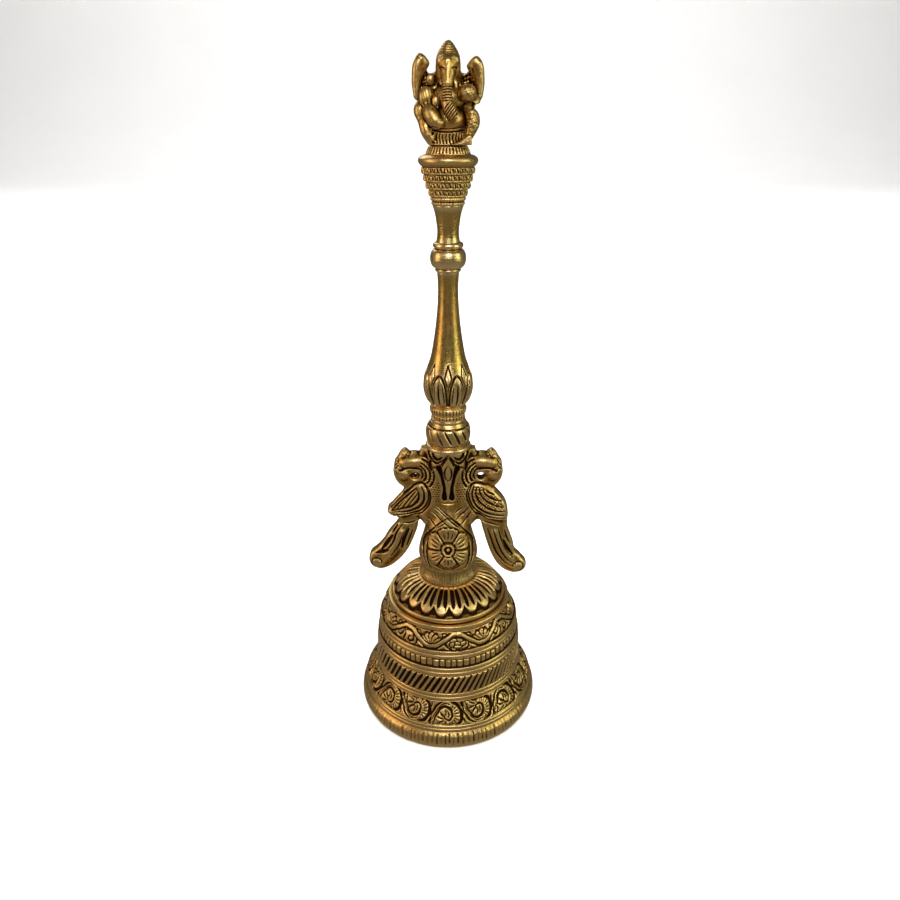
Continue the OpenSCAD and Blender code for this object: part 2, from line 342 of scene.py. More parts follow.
class Clay:
    """A block modelled form by form on a grid of distances, negative inside. Its z counts from lift."""

    def __init__(self, low, high, cell, lift=0.0):
        """An empty block between two corners, with the given grid cell."""
        self.low = np.asarray(low, float)
        self.cell = cell
        self.lift = lift
        counts = np.ceil((np.asarray(high) - self.low) / cell).astype(int) + 1
        self.depth = np.full(counts, 5.0, np.float32)

    def part(self, low, high):
        """The part of the grid between two corners, and its coordinates."""
        first = np.floor((np.asarray(low) - self.low) / self.cell).astype(int)
        last = np.ceil((np.asarray(high) - self.low) / self.cell).astype(int) + 1
        first, last = np.maximum(first, 0), np.minimum(last, self.depth.shape)
        x, y, z = (self.low[k] + np.arange(first[k], last[k]) * self.cell for k in range(3))
        where = tuple(slice(a, b) for a, b in zip(first, last))
        return where, x[:, None, None], y[None, :, None], z[None, None, :]

    def join(self, shape, soft=0.4):
        """Adds a shape, with a fillet of the soft width round it."""
        form, low, high = shape
        where, x, y, z = self.part(low - soft - 1, high + soft + 1)
        self.depth[where] = soft_min(self.depth[where], form(x, y, z), soft)

    def cut(self, shape, soft=0.2):
        """Takes a shape away, with its brim rounded by the soft width."""
        form, low, high = shape
        where, x, y, z = self.part(low - soft - 1, high + soft + 1)
        self.depth[where] = -soft_min(-self.depth[where], form(x, y, z), soft)

    def engrave(self, pattern, low, high):
        """Sinks the skin by pattern(x, y, z) between two corners, or raises it where that is negative."""
        where, x, y, z = self.part(low, high)
        self.depth[where] += pattern(x, y, z)

    def cast(self, name, slot, stands_for, body="bell"):
        """Makes the finished skin a piece."""
        grid = openvdb.FloatGrid(1.0)
        grid.copyFromArray(self.depth)
        points, quads = grid.convertToQuads(0.0)
        points = points * self.cell + self.low + np.array([0, 0, self.lift])
        a, b, c = (points[quads[:, k]] for k in range(3))
        if (np.cross(b - a, c - a) * a).sum() < 0:
            quads = quads[:, ::-1]
        solid_from(name, points, quads, slot, body, stands_for)


# ---- materials --------------------------------------------------------------------------------


class Nodes:
    """Short forms for building a material's nodes."""

    def __init__(self, name):
        """A new material with its principled shader."""
        self.material = bpy.data.materials.new(name)
        self.material.use_nodes = True
        self.tree = self.material.node_tree
        self.shader = self.tree.nodes["Principled BSDF"]

    def new(self, kind, inputs=(), **settings):
        """A node with its settings and inputs."""
        made = self.tree.nodes.new(kind)
        for key, value in settings.items():
            setattr(made, key, value)
        for key, value in dict(inputs).items():
            self.put(made.inputs[key], value)
        return made

    def put(self, socket, value):
        """Links a value that is an output, and stores any other."""
        if isinstance(value, bpy.types.NodeSocket):
            self.tree.links.new(value, socket)
        else:
            socket.default_value = value

    def noise(self, scale, detail=4, roughness=0.6, stretch=(1, 1, 1)):
        """Noise over the piece's own place, scale in cells to the metre."""
        place = self.new("ShaderNodeTexCoord").outputs["Object"]
        place = self.new("ShaderNodeMapping", {"Vector": place, "Scale": stretch}).outputs[0]
        inputs = {"Vector": place, "Scale": scale, "Detail": detail, "Roughness": roughness}
        return self.new("ShaderNodeTexNoise", inputs).outputs["Fac"]

    def between(self, value, low, high, to_low=0, to_high=1):
        """The value moved from the range low to high into the range to_low to to_high, and held there."""
        inputs = {"Value": value, "From Min": low, "From Max": high, "To Min": to_low, "To Max": to_high}
        return self.new("ShaderNodeMapRange", inputs, clamp=True).outputs[0]

    def math(self, how, a, b):
        """The sum or product of two values."""
        return self.new("ShaderNodeMath", {0: a, 1: b}, operation=how).outputs[0]

    def mix(self, share, a, b):
        """Colour a where share is 0, b where it is 1."""
        made = self.new("ShaderNodeMix", data_type="RGBA")
        colours = [s for s in made.inputs if s.type == "RGBA"]
        self.put(made.inputs[0], share)
        self.put(colours[0], a)
        self.put(colours[1], b)
        return [s for s in made.outputs if s.type == "RGBA"][0]


def aged_metal(name, bright, warm, cool, patina, gloss, dark_from, dark_to, grain):
    """Cast or turned metal: rubbed bright on high spots, with patina where the recess mark is deep.

    warm and cool are the two tones of its blotches. Patina sets in from dark_from and is full at dark_to.
    """
    n = Nodes(name)
    recess = n.new("ShaderNodeAttribute", attribute_name="recess").outputs["Fac"]
    blotch = n.noise(95, 3)
    fleck = n.noise(900, 5, 0.7)
    scratch = n.noise(1500, 2, 0.5, (1, 1, 0.12))
    clean = n.mix(n.between(blotch, 0.40, 0.60), warm, cool)
    clean = n.mix(n.between(recess, 0.46, 0.12), clean, bright)
    worn = n.math("ADD", recess, n.between(fleck, 0.25, 0.75, -0.10, 0.10))
    worn = n.math("ADD", worn, n.between(blotch, 0.3, 0.7, -0.05, 0.05))
    dark = n.between(worn, dark_from, dark_to)
    n.put(n.shader.inputs["Base Color"], n.mix(dark, clean, patina))
    n.put(n.shader.inputs["Metallic"], n.between(dark, 0, 1, 1, 0.95))
    rough = n.math("ADD", n.between(dark, 0, 1, gloss, gloss + 0.34), n.between(fleck, 0.3, 0.7, -0.05, 0.09))
    n.put(n.shader.inputs["Roughness"], n.math("ADD", rough, n.between(scratch, 0.35, 0.65, -0.03, 0.05)))
    height = n.math("ADD", n.math("MULTIPLY", fleck, grain), n.math("MULTIPLY", scratch, 0.35 * grain))
    bump = n.new("ShaderNodeBump", {"Height": height, "Strength": 0.35, "Distance": 0.0003})
    n.put(n.shader.inputs["Normal"], bump.outputs[0])
    return n.material


def plain_stage(name, colour):
    """Matt backdrop with a trace of mottling."""
    n = Nodes(name)
    mottle = n.between(n.noise(6, 2), 0.4, 0.6)
    shade = tuple(c * 0.985 for c in colour[:3]) + (1,)
    n.put(n.shader.inputs["Base Color"], n.mix(mottle, colour, shade))
    n.shader.inputs["Roughness"].default_value = 0.9
    return n.material


MATERIALS = {
    "brass_antique": aged_metal(
        "brass_antique", bright=(0.74, 0.51, 0.215, 1), warm=(0.50, 0.255, 0.054, 1),
        cool=(0.44, 0.275, 0.064, 1), patina=(0.034, 0.013, 0.003, 1),
        gloss=0.30, dark_from=0.53, dark_to=0.72, grain=1.3),
    "brass_bright": aged_metal(
        "brass_bright", bright=(0.80, 0.60, 0.30, 1), warm=(0.62, 0.36, 0.10, 1),
        cool=(0.55, 0.38, 0.11, 1), patina=(0.045, 0.018, 0.004, 1),
        gloss=0.26, dark_from=0.55, dark_to=0.76, grain=0.7),
    "brass_dark": aged_metal(
        "brass_dark", bright=(0.45, 0.30, 0.11, 1), warm=(0.28, 0.165, 0.05, 1),
        cool=(0.22, 0.15, 0.05, 1), patina=(0.03, 0.014, 0.005, 1),
        gloss=0.38, dark_from=0.52, dark_to=0.80, grain=1.4),
    "iron": aged_metal(
        "iron", bright=(0.34, 0.31, 0.28, 1), warm=(0.17, 0.14, 0.12, 1),
        cool=(0.13, 0.12, 0.115, 1), patina=(0.06, 0.022, 0.01, 1),
        gloss=0.38, dark_from=0.54, dark_to=0.80, grain=1.2),
}


# ---- bell ---------------------------------------------------------------------------------------

# Heights of the bands of relief, above the rim
LIP_FLUTES = (1.2, 5.8)
SCROLL_BAND = (8.2, 15.1)
HATCH_BAND = (17.8, 24.4)
BEAD_BAND = (28.0, 30.7)
VINE_BAND = (33.7, 39.2)
SHOULDER_Z = 40
ROSETTE_Z = 42.4
ROSETTE = (17.75, 9.4)     # radius at the petals' tips and at the flange
CROWN_Z = node_z("bell_cup")[1]


def shaky(x, y):
    """x and y with the small wander of a hand-held graver."""
    return x + 0.10 * np.sin(2.3 * y + 0.7 * x), y + 0.08 * np.sin(1.9 * x + 1.1)


def lip_flutes(angle, z):
    """Short shallow flutes cut round the lip, strong in some places and nearly rubbed away in others."""
    count = 126
    place = (angle + 0.010 * np.sin(7 * angle + 1) + 0.008 * np.sin(17 * angle)) * count / TAU
    across = np.abs(wrap(place)) * 2
    number = np.round(place + 0.5)
    depth = 0.08 + 0.05 * np.sin(2.4 * number) + 0.05 * np.sin(3 * angle + 1.3)
    low = LIP_FLUTES[0] + 0.9 * np.sin(1.7 * number) ** 2
    high = LIP_FLUTES[1] - 0.5 * np.sin(3.1 * number) ** 2
    return -np.clip(depth, 0.03, 1) * ramp(0.25, 0.95, across) * window(low, high, z, 0.9)


def scroll_motif(angle, z):
    """A running scroll: arms that arch over and curl round a veined leaf, upright and hanging by turns."""
    count = 16
    cell, half = 10.6, 3.45    # length of one motif round the band, and half its height
    low, high = SCROLL_BAND
    place = angle * count / TAU
    upright = np.round(place) % 2 == 0
    v = (z - low) / (high - low) * 2 - 1
    x, y = shaky(wrap(place) * cell, np.where(upright, v, -v) * half)

    crescent = [[(1.0, 3.3), (3.3, 2.2), (4.5, -0.1), (3.9, -2.2), (2.5, -3.3)]]
    arch = [[(-4.7, -3.2), (-4.0, -0.9), (-2.6, 1.3), (-0.8, 1.9), (0.9, 1.1), (1.3, -0.5), (0.5, -1.7),
             (-0.9, -1.5), (-1.2, -0.7)],
            [(-6.2, -1.9), (-4.9, 0.5), (-3.3, 2.6), (-1.9, 3.2)], [(-4.4, -3.2), (-1.4, -3.3), (1.9, -3.1)],
            [(4.4, 2.9), (5.1, 1.5), (5.2, -0.3)], [(4.7, -1.3), (5.4, -2.6), (6.4, -3.1)]]
    veins = [[(-1.1, -1.2), (-2.3, -0.2), (-2.9, 0.6)], [(-1.3, -1.6), (-2.7, -1.2), (-3.7, -0.8)],
             [(-1.2, -2.0), (-2.5, -2.4), (-3.4, -2.6)], [(-0.6, -2.1), (-0.9, -2.8)],
             [(-0.1, 0.9), (0.2, 0.0), (0.0, -0.9)], [(-0.9, 1.1), (-0.7, 0.2), (-0.9, -0.5)],
             [(-5.2, -2.0), (-3.6, 0.9), (-1.6, 2.6), (0.6, 2.6)]]
    cut = deepest(engraved(x, y, crescent, 0.80, 0.60), engraved(x, y, arch, 0.46, 0.48),
                  engraved(x, y, veins, 0.30, 0.34))
    out = np.hypot(x - 0.4, y + 0.4)
    turn = np.arctan2(y + 0.4, x - 0.4)
    arm = window(1.7, 3.9, out, 0.35) * ramp(-1.9, -1.5, turn) * ramp(1.5, 1.1, turn)
    ribs = arm * (0.10 + 0.24 * ramp(0.15, 0.5, np.abs(wrap(turn * 3.1))))
    plump = 0.06 * cord(np.hypot((x + 1.9) / 2.2, (y + 0.8) / 1.9), 1)
    corners = 0.34 * cord(np.hypot((x - 5.1) / 0.9, (y - 2.6) / 1.3), 1)
    return (-0.06 - deepest(cut, ribs) + plump - corners) * window(low, high, z, 0.35)


def hatch_strokes(angle, z):
    """Slanting cuts all the way round, parted by ridges of much the same width."""
    count, lean = 76, 0.50
    low, high = HATCH_BAND
    middle = (low + high) / 2
    radius = 24.3
    place = (angle - lean * (z - middle) / radius + 0.005 * np.sin(9 * angle)) * count / TAU
    across = np.abs(wrap(place)) * 2
    along = np.abs(z - middle) / (high - middle)
    uneven = 0.88 + 0.12 * np.sin(np.round(place) * 2.4)
    half = 0.78 * uneven * np.clip(1 - along ** 5, 0, 1) ** 0.5 + 1e-6
    depth = 0.62 + 0.10 * np.sin(np.round(place) * 1.3)
    return (0.34 - (depth + 0.16) * np.clip(1 - (across / half) ** 2, 0, 1)) * ramp(1.0, 0.88, along)


def bead_row(angle, z):
    """Squarish pillows, parted by cut gaps."""
    count = 75
    low, high = BEAD_BAND
    place = (angle + 0.006 * np.sin(13 * angle)) * count / TAU
    across = np.abs(wrap(place)) * 2
    along = np.abs(2 * z - low - high + 0.2 * np.sin(np.round(place) * 3.3)) / (high - low)
    pillow = np.clip(1 - (across / 0.92) ** 2.6, 0, 1) * np.clip(1 - (along / 0.95) ** 2.6, 0, 1)
    worn = 1 - 0.35 * np.sin(np.round(place) * 1.9) ** 2
    return (-0.26 + 0.50 * worn * np.sqrt(pillow)) * window(low - 0.3, high + 0.3, z, 0.2)


def vine_flower(x, y):
    """Cuts of an open flower in a ring that sits under a crest of the stem."""
    out = np.hypot(x / 1.6, y + 0.45) * (1 + 0.05 * np.sin(1.7 * x))
    turn = np.arctan2(y + 0.45, x / 1.6)
    rings = deepest(0.50 * cord(out - 2.3, 0.26), 0.40 * cord(out - 1.65 - 0.10 * np.cos(5 * turn), 0.20))
    swirl = 0.42 * cord(wrap(turn * 5 / TAU - 0.25 * out), 0.13) * window(0.6, 1.6, out, 0.2)
    return deepest(rings, swirl, 0.34 * cord(out - 0.62, 0.16)) * (out < 2.6)


def vine_curls(x, y):
    """Cuts of two shoots that curl away from each other under a crest of the stem."""
    lines = [[(-4.4, 0.3), (-3.6, 1.5), (-2.2, 1.3), (-1.7, -0.1), (-2.4, -1.3), (-3.4, -1.2), (-3.5, -0.3),
              (-2.8, 0.1)],
             [(-0.9, 0.6), (0.6, 1.4), (2.2, 0.7), (2.7, -0.8), (1.9, -1.9), (0.8, -1.6), (0.9, -0.6),
              (1.6, -0.5)],
             [(-0.9, -2.4), (-0.7, -0.9), (-1.2, 0.6), (-2.0, 2.0)], [(3.6, -2.2), (3.9, -0.8), (3.4, 0.6)],
             [(-5.0, -1.3), (-4.6, -0.6), (-4.4, 0.3)]]
    return engraved(x, y, lines, 0.40, 0.48)


def vine_leaves(x, y):
    """A high fan of plump leaves that stands in a dip of the stem: height above the ground."""
    out = np.hypot(x / 1.15, y + 1.5)
    turn = np.arctan2(x / 1.15, y + 1.5)
    lobe = np.abs(wrap(turn / 0.42 + 0.08 * np.sin(3 * out))) * 2
    reach = 3.9 - 0.5 * np.abs(turn) - 0.7 * lobe ** 2
    fan = ramp(reach + 0.1, reach - 0.3, out) * ramp(1.35, 1.2, np.abs(turn))
    veins = 0.34 * cord(lobe - 0.9, 0.34) + 0.2 * cord(lobe, 0.14) * (out > 1.2)
    return fan * (0.42 - veins) - 0.34 * cord(out - reach - 0.25, 0.3) * (np.abs(turn) < 1.45)


def vine_motif(angle, z):
    """A winding stem: under its crests a ringed flower and a pair of curls by turns, leaves in its dips."""
    count = 8
    cell = 16.9                # length of one wave round the band
    low, high = VINE_BAND
    half = (high - low) / 2
    y = z - low - half
    place = angle * count / TAU - 0.17
    u = wrap(place)
    x, y = shaky(u * cell, y)
    swing = 1.95
    wave = swing * np.cos(TAU * u) + 0.25
    slope = swing * TAU / cell * np.sin(TAU * u)
    off = (y - wave) / np.sqrt(1 + slope ** 2)
    edges = 0.48 * cord(np.abs(off) - 0.80, 0.30)
    stem = 0.10 * cord(off, 0.6)
    below = np.where(np.round(place) % 2 == 0, vine_flower(x, y), vine_curls(x, y)) * (off < -0.9)
    side = np.where(u > 0, x - cell / 2, x + cell / 2)
    above = vine_leaves(side, y) * (off > 0.9)
    hook = 0.4 * cord(np.hypot((np.abs(side) - 4.6) / 1.2, y - 1.5) - 0.8, 0.25) * (off > 1)
    return (-0.08 + stem + above - deepest(edges, below, hook)) * window(low, high, z, 0.35)


def petal_rosette(angle, r, z):
    """Petals that hang from the flange, each with two wide cut slots and a scalloped tip."""
    count = 21
    slot_at, slot_wide = 0.215, 0.185
    tip, root = ROSETTE
    down = (r - root) / (tip - root)
    place = angle * count / TAU + 0.43
    p = wrap(place)
    edge = 1.0 - 0.20 * np.abs(2 * p) ** 2.4 + 0.012 * np.sin(np.round(place) * 2.2)
    length = 0.86 + 0.04 * np.sin(np.round(2 * place) * 3.1)
    taper = (1 - np.clip(down / length, 0, 1) ** 4) ** 0.5
    slot_half = slot_wide * taper * ramp(0.02, 0.12, down) + 1e-6
    slots = np.clip(1 - ((np.abs(p) - slot_at) / slot_half) ** 8, 0, 1) ** 0.5 * (slot_half > 0.02)
    rim = 0.50 * cord(down - edge - 0.035, 0.055) * (0.55 + 0.45 * ramp(0.15, 0.5, np.abs(p)))
    notch = 0.55 * ramp(edge + 0.01, edge + 0.05, down) * ramp(1.03, 0.98, down) * ramp(0.18, 0.34, np.abs(p))
    inside = ramp(ROSETTE_Z + 0.1, ROSETTE_Z + 0.6, z) * ramp(root - 0.3, root + 0.3, r)
    return (0.14 * (down < edge) - deepest(rim, notch) - 1.15 * slots) * inside


def bell_relief(angle, r, z, normal):
    """All bands on the outside, which wander a little up and down, and faint turning marks inside."""
    outside = (normal[:, :1] > 0) | ((normal[:, 1:] > 0) & (z > SHOULDER_Z))
    sway = 0.07 * np.sin(3 * angle + 1) + 0.05 * np.sin(5 * angle)
    z = z + sway * ramp(1, 5, z)
    lift = lip_flutes(angle, z) + scroll_motif(angle, z) + hatch_strokes(angle, z)
    lift = lift + bead_row(angle, z) + vine_motif(angle, z)
    lift = np.where(z > ROSETTE_Z, petal_rosette(angle, r, z), lift)
    turning = 0.035 * np.sin(z * 5.2) * np.sin(z * 1.3)
    return np.where(outside, lift, turning * ramp(0.5, 2, z))


def bell_step(r, z):
    """Fine rows over the relief, coarse ones inside, parted by radii that run up through the wall."""
    within_wall = np.interp(z, [0, 8, 16, 28, 38, 46], [29.0, 27.2, 23.7, 22.6, 19.6, 11.5])
    return 0.25 if r > within_wall or z > CROWN_Z - 1 else 1.6


turned("bell", finer(outline_of("bell_cup"), bell_step), 840, bell_relief, "brass_antique", ["bell_cup"])


# ---- turned pieces of the handle --------------------------------------------------------------


def striated(count, depth, low, high):
    """Fine upright lines with uneven strength between two heights."""

    def relief(angle, r, z, normal):
        across = np.abs(wrap((angle + 0.01 * np.sin(5 * angle)) * count / TAU)) * 2
        uneven = 0.65 + 0.35 * np.sin(17 * angle + 3 * np.sin(4 * angle))
        return -depth * uneven * ramp(0.35, 1, across) * window(low, high, z, 0.25) * (normal[:, :1] > 0.2)

    return relief


def smooth_turning(angle, r, z, normal):
    """Faint tool marks that run round a turned piece."""
    return 0.012 * np.sin(z * 9 + np.sin(z * 2.1)) * (normal[:, :1] > 0.2) + 0 * angle


def slanted_cuts(low, high):
    """A few slanting cuts on the belly of the collar, strong in front and faint behind."""

    def relief(angle, r, z, normal):
        count, lean = 15, 0.55
        up = (z - low) / (high - low)
        place = (angle + lean * (up - 0.5)) * count / TAU
        strength = 0.35 + 0.65 * np.cos(angle - 0.5) ** 2
        length = 0.30 + 0.06 * np.sin(np.round(place) * 2.3)
        cut = cord(wrap(place), 0.20 * cord(up - 0.50, length) + 1e-6) * (np.abs(up - 0.50) < length)
        ring = 0.18 * cord(z - high + 1.25, 0.28) + 0.14 * cord(z - low - 0.9, 0.22)
        return (-0.40 * strength * cut - ring) * (normal[:, :1] > 0)

    return relief


def upright_knurl(count, depth, low, high):
    """Rounded upright ribs between two heights."""

    def relief(angle, r, z, normal):
        across = np.abs(wrap(angle * count / TAU)) * 2
        return -depth * across ** 3 * window(low, high, z, 0.2) * (normal[:, :1] > 0)

    return relief


def knurled_tiers(low, tier_h, counts):
    """Short uneven upright cuts on each of the tiers, which are tier_h high."""

    def relief(angle, r, z, normal):
        lift = 0 * angle * z
        for number, count in enumerate(counts):
            z0 = low + number * tier_h
            drift = 0.03 * np.sin(5 * angle + number) + 0.01 * np.sin(19 * angle)
            place = (angle + drift) * count / TAU + 0.37 * number
            across = np.abs(wrap(place)) * 2
            depth = 0.30 + 0.14 * np.sin(np.round(place) * 2.7 + number)
            up = z - z0 - 0.5 * tier_h
            slant = place + 0.18 * up + 0.1 * np.sin(3 * np.round(place))
            nick = cord(wrap(slant), 0.30) * (np.abs(up) < 0.55 * tier_h)
            cut = deepest(depth * ramp(0.50, 0.95, across), 0.34 * nick * cord(up, 0.55 * tier_h))
            lift = lift - cut * window(z0 + 0.1, z0 + tier_h - 0.1, z, 0.3)
        return lift * (normal[:, :1] > 0.1)

    return relief


def lotus_bulb(low, high):
    """Pointed petals cut round the foot of the grip, with a slit in each and a bud between."""

    def relief(angle, r, z, normal):
        count = 8
        arc = TAU / count * r
        up = (z - low) / (high - low)
        p = wrap(angle * count / TAU + 0.5)
        q = wrap(angle * count / TAU)
        half = 0.46 * np.clip(1 - np.clip(up, 0, 1) ** 2.4, 0, 1) ** 0.62
        line = cord((np.abs(p) - half) * arc, 0.46) * window(low, high + 0.2, z, 0.3)
        inner = cord((np.abs(p) - 0.62 * half) * arc, 0.22) * window(low + 1.5, high - 2, z, 0.6)
        slit = cord(p * arc, 0.34 * cord(up - 0.40, 0.36) + 1e-6) * (np.abs(up - 0.40) < 0.36)
        wide = 1.05 * np.clip(1 - np.abs(up - 0.93) / 0.34, 0, 1)
        bud = cord(np.abs(q * arc) - wide, 0.26) * (np.abs(up - 0.93) < 0.34)
        channel = cord(q * arc, 0.36) * window(low, high - 3.2, z, 0.5)
        cut = deepest(line, 0.9 * channel, slit, 0.8 * bud, 0.5 * inner)
        plump = 0.22 * np.cos(np.pi * p / 0.94) * window(low, high, z, 1.5)
        return (plump - 0.60 * cut) * (normal[:, :1] > 0)

    return relief


def handle_piece(node, columns, relief, slot, step=0.3, loop=None):
    """A turned piece with relief, which takes the place of its CAD node."""
    outline = outline_of(node) if loop is None else upwards(np.asarray(loop, float))
    turned(node + "_skin", finer(outline, lambda r, z: step), columns, relief, slot, [node])


def collar_outline():
    """The collar's belly between its two faces, with the hole down its middle."""
    low, high = node_z("fluted_collar")
    wide = node_r("fluted_collar")
    belly = rounded([(0.88 * wide, low), (0.955 * wide, low + 1.2), (wide, low + 3.4),
                     (0.965 * wide, low + 5.4), (0.86 * wide, high - 0.9), (0.78 * wide, high)])
    return np.vstack([[(BORE, low)], belly, [(BORE, high)]])


def knurl_outline():
    """A flat ring with small bevels and the hole down its middle."""
    low, high = node_z("knurled_ring")
    wide = node_r("knurled_ring")
    return [(BORE, low), (0.97 * wide, low), (wide, low + 0.3), (wide, high - 0.3), (0.97 * wide, high),
            (BORE, high)]


flange_low, flange_high = node_z("crown_flange")
flange_lines = striated(110, 0.17, flange_low + 0.5, flange_high - 0.4)
handle_piece("crown_flange", 420, flange_lines, "brass_bright", 0.2)
handle_piece("collar_seat", 240, striated(70, 0.06, *node_z("collar_seat")), "brass_bright", 0.2)
collar_cuts = slanted_cuts(*node_z("fluted_collar"))
handle_piece("fluted_collar", 400, collar_cuts, "brass_bright", 0.15, collar_outline())
handle_piece("thin_ring", 200, smooth_turning, "brass_bright", 0.12)
handle_piece("knurled_ring", 360, upright_knurl(30, 0.36, *node_z("knurled_ring")), "brass_antique", 0.12,
             knurl_outline())
bead_low, bead_high = node_z("bead_ring")
bead_ribs = upright_knurl(34, 0.30, bead_low + 0.5, bead_high - 0.5)
handle_piece("bead_ring", 300, bead_ribs, "brass_antique", 0.15)
grip_low = node_z("grip_baluster")[0]
handle_piece("grip_baluster", 420, lotus_bulb(grip_low + 0.7, grip_low + 10.8), "brass_bright", 0.22)
handle_piece("knop", 240, smooth_turning, "brass_bright", 0.2)
handle_piece("vase_neck", 240, smooth_turning, "brass_bright")
handle_piece("capital_ring", 300, striated(34, 0.16, *node_z("capital_ring")), "brass_antique", 0.15)
capital_low = node_z("capital")[0]
handle_piece("capital", 420, knurled_tiers(capital_low, 1.85, (27, 30, 32, 34)), "brass_antique", 0.15)
handle_piece("crown_washer", 200, smooth_turning, "brass_bright", 0.4)


def ball_marks(angle, r, z, normal):
    """A turned line round the ball, and small dents where it has struck the lip."""
    low, high = node_z("clapper_ball")
    middle = (low + high) / 2 - 0.3
    line = 0.12 * cord(z - middle, 0.18) + 0.10 * cord(z - high + 1.1, 0.2)
    dents = 0.05 * np.clip(np.sin(5 * angle + 1) * np.sin(7 * angle + 2.1 * z), 0, 1)
    dents = dents * ramp(2.5, 0.5, np.abs(z - middle))
    return (-line - dents) * (normal[:, :1] > 0.1)


ball_loop = finer(outline_of("clapper_ball"), lambda r, z: 0.3)
turned("clapper_ball_skin", ball_loop, 200, ball_marks, "brass_antique", ["clapper_ball"], "clapper")
frame["nodes"]["tie_rod"].data.materials.clear()
frame["nodes"]["tie_rod"].data.materials.append(MATERIALS["iron"])


# ---- seated figure ------------------------------------------------------------------------------

# Outlines on the +X side, as (x, height above the capital)
BLADE = [(8.2, 13.2), (8.95, 15.8), (8.95, 19.0), (8.4, 21.4), (7.4, 22.9), (6.2, 22.8), (5.3, 22.0),
         (4.6, 21.0), (4.7, 20.2), (5.4, 19.2), (6.2, 17.8), (6.8, 16.0), (7.1, 14.0), (7.5, 12.6)]
SHOULDERS = [(0, 12.2), (4.4, 11.4), (6.6, 11.8), (7.6, 13.2), (7.2, 15.6), (6.8, 18.4), (5.8, 19.6),
             (4.6, 18.9), (3.2, 19.2), (0, 20)]
FOOT = [(0.6, 2.3), (2.8, 3.2), (5.0, 4.7), (5.9, 4.4), (6.0, 3.0), (5.4, 2.2)]


def mirrored(half):
    """A closed outline from its +X half."""
    return list(half) + [(-x, z) for x, z in reversed(half) if x > 0.01]


def figure_body(clay):
    """Seat, belly, legs and the two lower arms."""
    clay.join(lathe([(5.9, 0), (5.75, 0.7), (5.35, 1.5), (5.0, 2.2), (4.8, 3.0)]))
    clay.join(lathe([(4.7, 2.2), (4.75, 3.6), (4.85, 5), (4.7, 6.5), (4.2, 8)]), 0.4)
    clay.join(ball((0.1, -2.2, 8.0), (4.2, 3.7, 3.2)), 0.3)
    clay.join(ball((0, -0.3, 12.8), (4.3, 3.0, 3.4)), 0.8)
    clay.join(ball((0, 0.8, 9.5), (4.5, 3.4, 5.5)), 0.8)
    clay.join(plate(mirrored(SHOULDERS), 1.3, 1.2, 1.1), 0.6)
    for side in SIDES:
        clay.cut(ball((side * 4.9, -1.4, 17.0), (2.1, 2.6, 2.9)), 0.4)
    clay.join(plate([(3, 4), (5.4, 4.0), (6.4, 7), (6.7, 10.4), (6.9, 12.8), (3, 13)], 1.5, 0.9, 0.2), 0.4)

    # On +X a knee drawn up with its foot turned in front, on -X a folded leg under the arm
    clay.join(limb([(5.2, -2.6, 10.1, 1.1), (6.0, -3.1, 9.0, 1.65), (6.2, -3.4, 7.6, 1.8),
                    (5.9, -3.7, 6.0, 1.45), (5.3, -3.9, 4.4, 1.0)], 0.85), 0.15)
    clay.join(plate(FOOT, 1.5, 0.7, -4.3), 0.1)
    clay.join(limb([(-6.0, -2.0, 8.6, 1.8), (-5.7, -2.5, 6.8, 1.65), (-5.3, -2.9, 5.2, 1.5),
                    (-4.7, -3.1, 3.9, 1.2), (-4.4, -3.2, 2.8, 0.8)]), 0.25)
    back_of_leg = [(-6.6, 8), (-5.7, 4.6), (-4.7, 2.8), (-3.0, 2.8), (-3.0, 11), (-6.6, 12)]
    clay.join(plate(back_of_leg, 2.6, 1.2, -1.2), 0.5)

    # -X arm: elbow out, a flat hand raised above it, and the forearm laid across the belly
    clay.join(limb([(-4.4, -0.4, 13.6, 1.5), (-6.3, -0.9, 12.2, 1.3), (-7.0, -1.7, 10.4, 1.7),
                    (-6.5, -2.1, 8.8, 1.6)]), 0.25)
    clay.join(ball((-5.4, -2.9, 13.0), (1.9, 1.4, 2.6)), 0.15)
    clay.join(limb([(-4.9, -3.3, 10.8, 1.5), (-4.3, -4.0, 9.4, 1.9), (-3.4, -4.5, 8.2, 1.9),
                    (-2.4, -4.9, 7.4, 1.5)]), 0.4)
    clay.join(ball((-3.1, -3.6, 12.0), (1.0, 1.1, 1.8)), 0.2)

    # +X arm with a round mound of sweets in its hand
    clay.join(limb([(4.0, -0.2, 14.0, 1.6), (6.8, -0.8, 12.9, 1.2), (6.5, -1.9, 11.9, 1.05),
                    (4.9, -2.7, 12.0, 0.8)]), 0.25)
    clay.join(ball((4.7, -3.0, 14.1), (2.3, 2.0, 2.1)), 0.12)


def figure_blades(clay):
    """Upper arms, and the tall blades they hold up: the one on +X stands a little lower."""
    for side, drop in ((-1, 0), (1, 0.6)):
        arm = [(3.4, 0.8, 15.0, 1.4), (5.8, 0.8, 13.9, 1.2), (7.5, 0.2, 13.4, 1.0)]
        rib = [(7.9, -0.5, 13.6, 0.75), (8.05, -0.6, 17.0, 0.85), (7.6, -0.6, 20.2, 1.0),
               (6.6, -0.5, 21.6 - drop, 0.85)]
        clay.join(limb(on_side(side, arm)), 0.3)
        clay.join(plate([(side * x, z - drop) for x, z in BLADE], 1.25, 1.2), 0.2)
        clay.join(limb(on_side(side, rib)), 0.6)


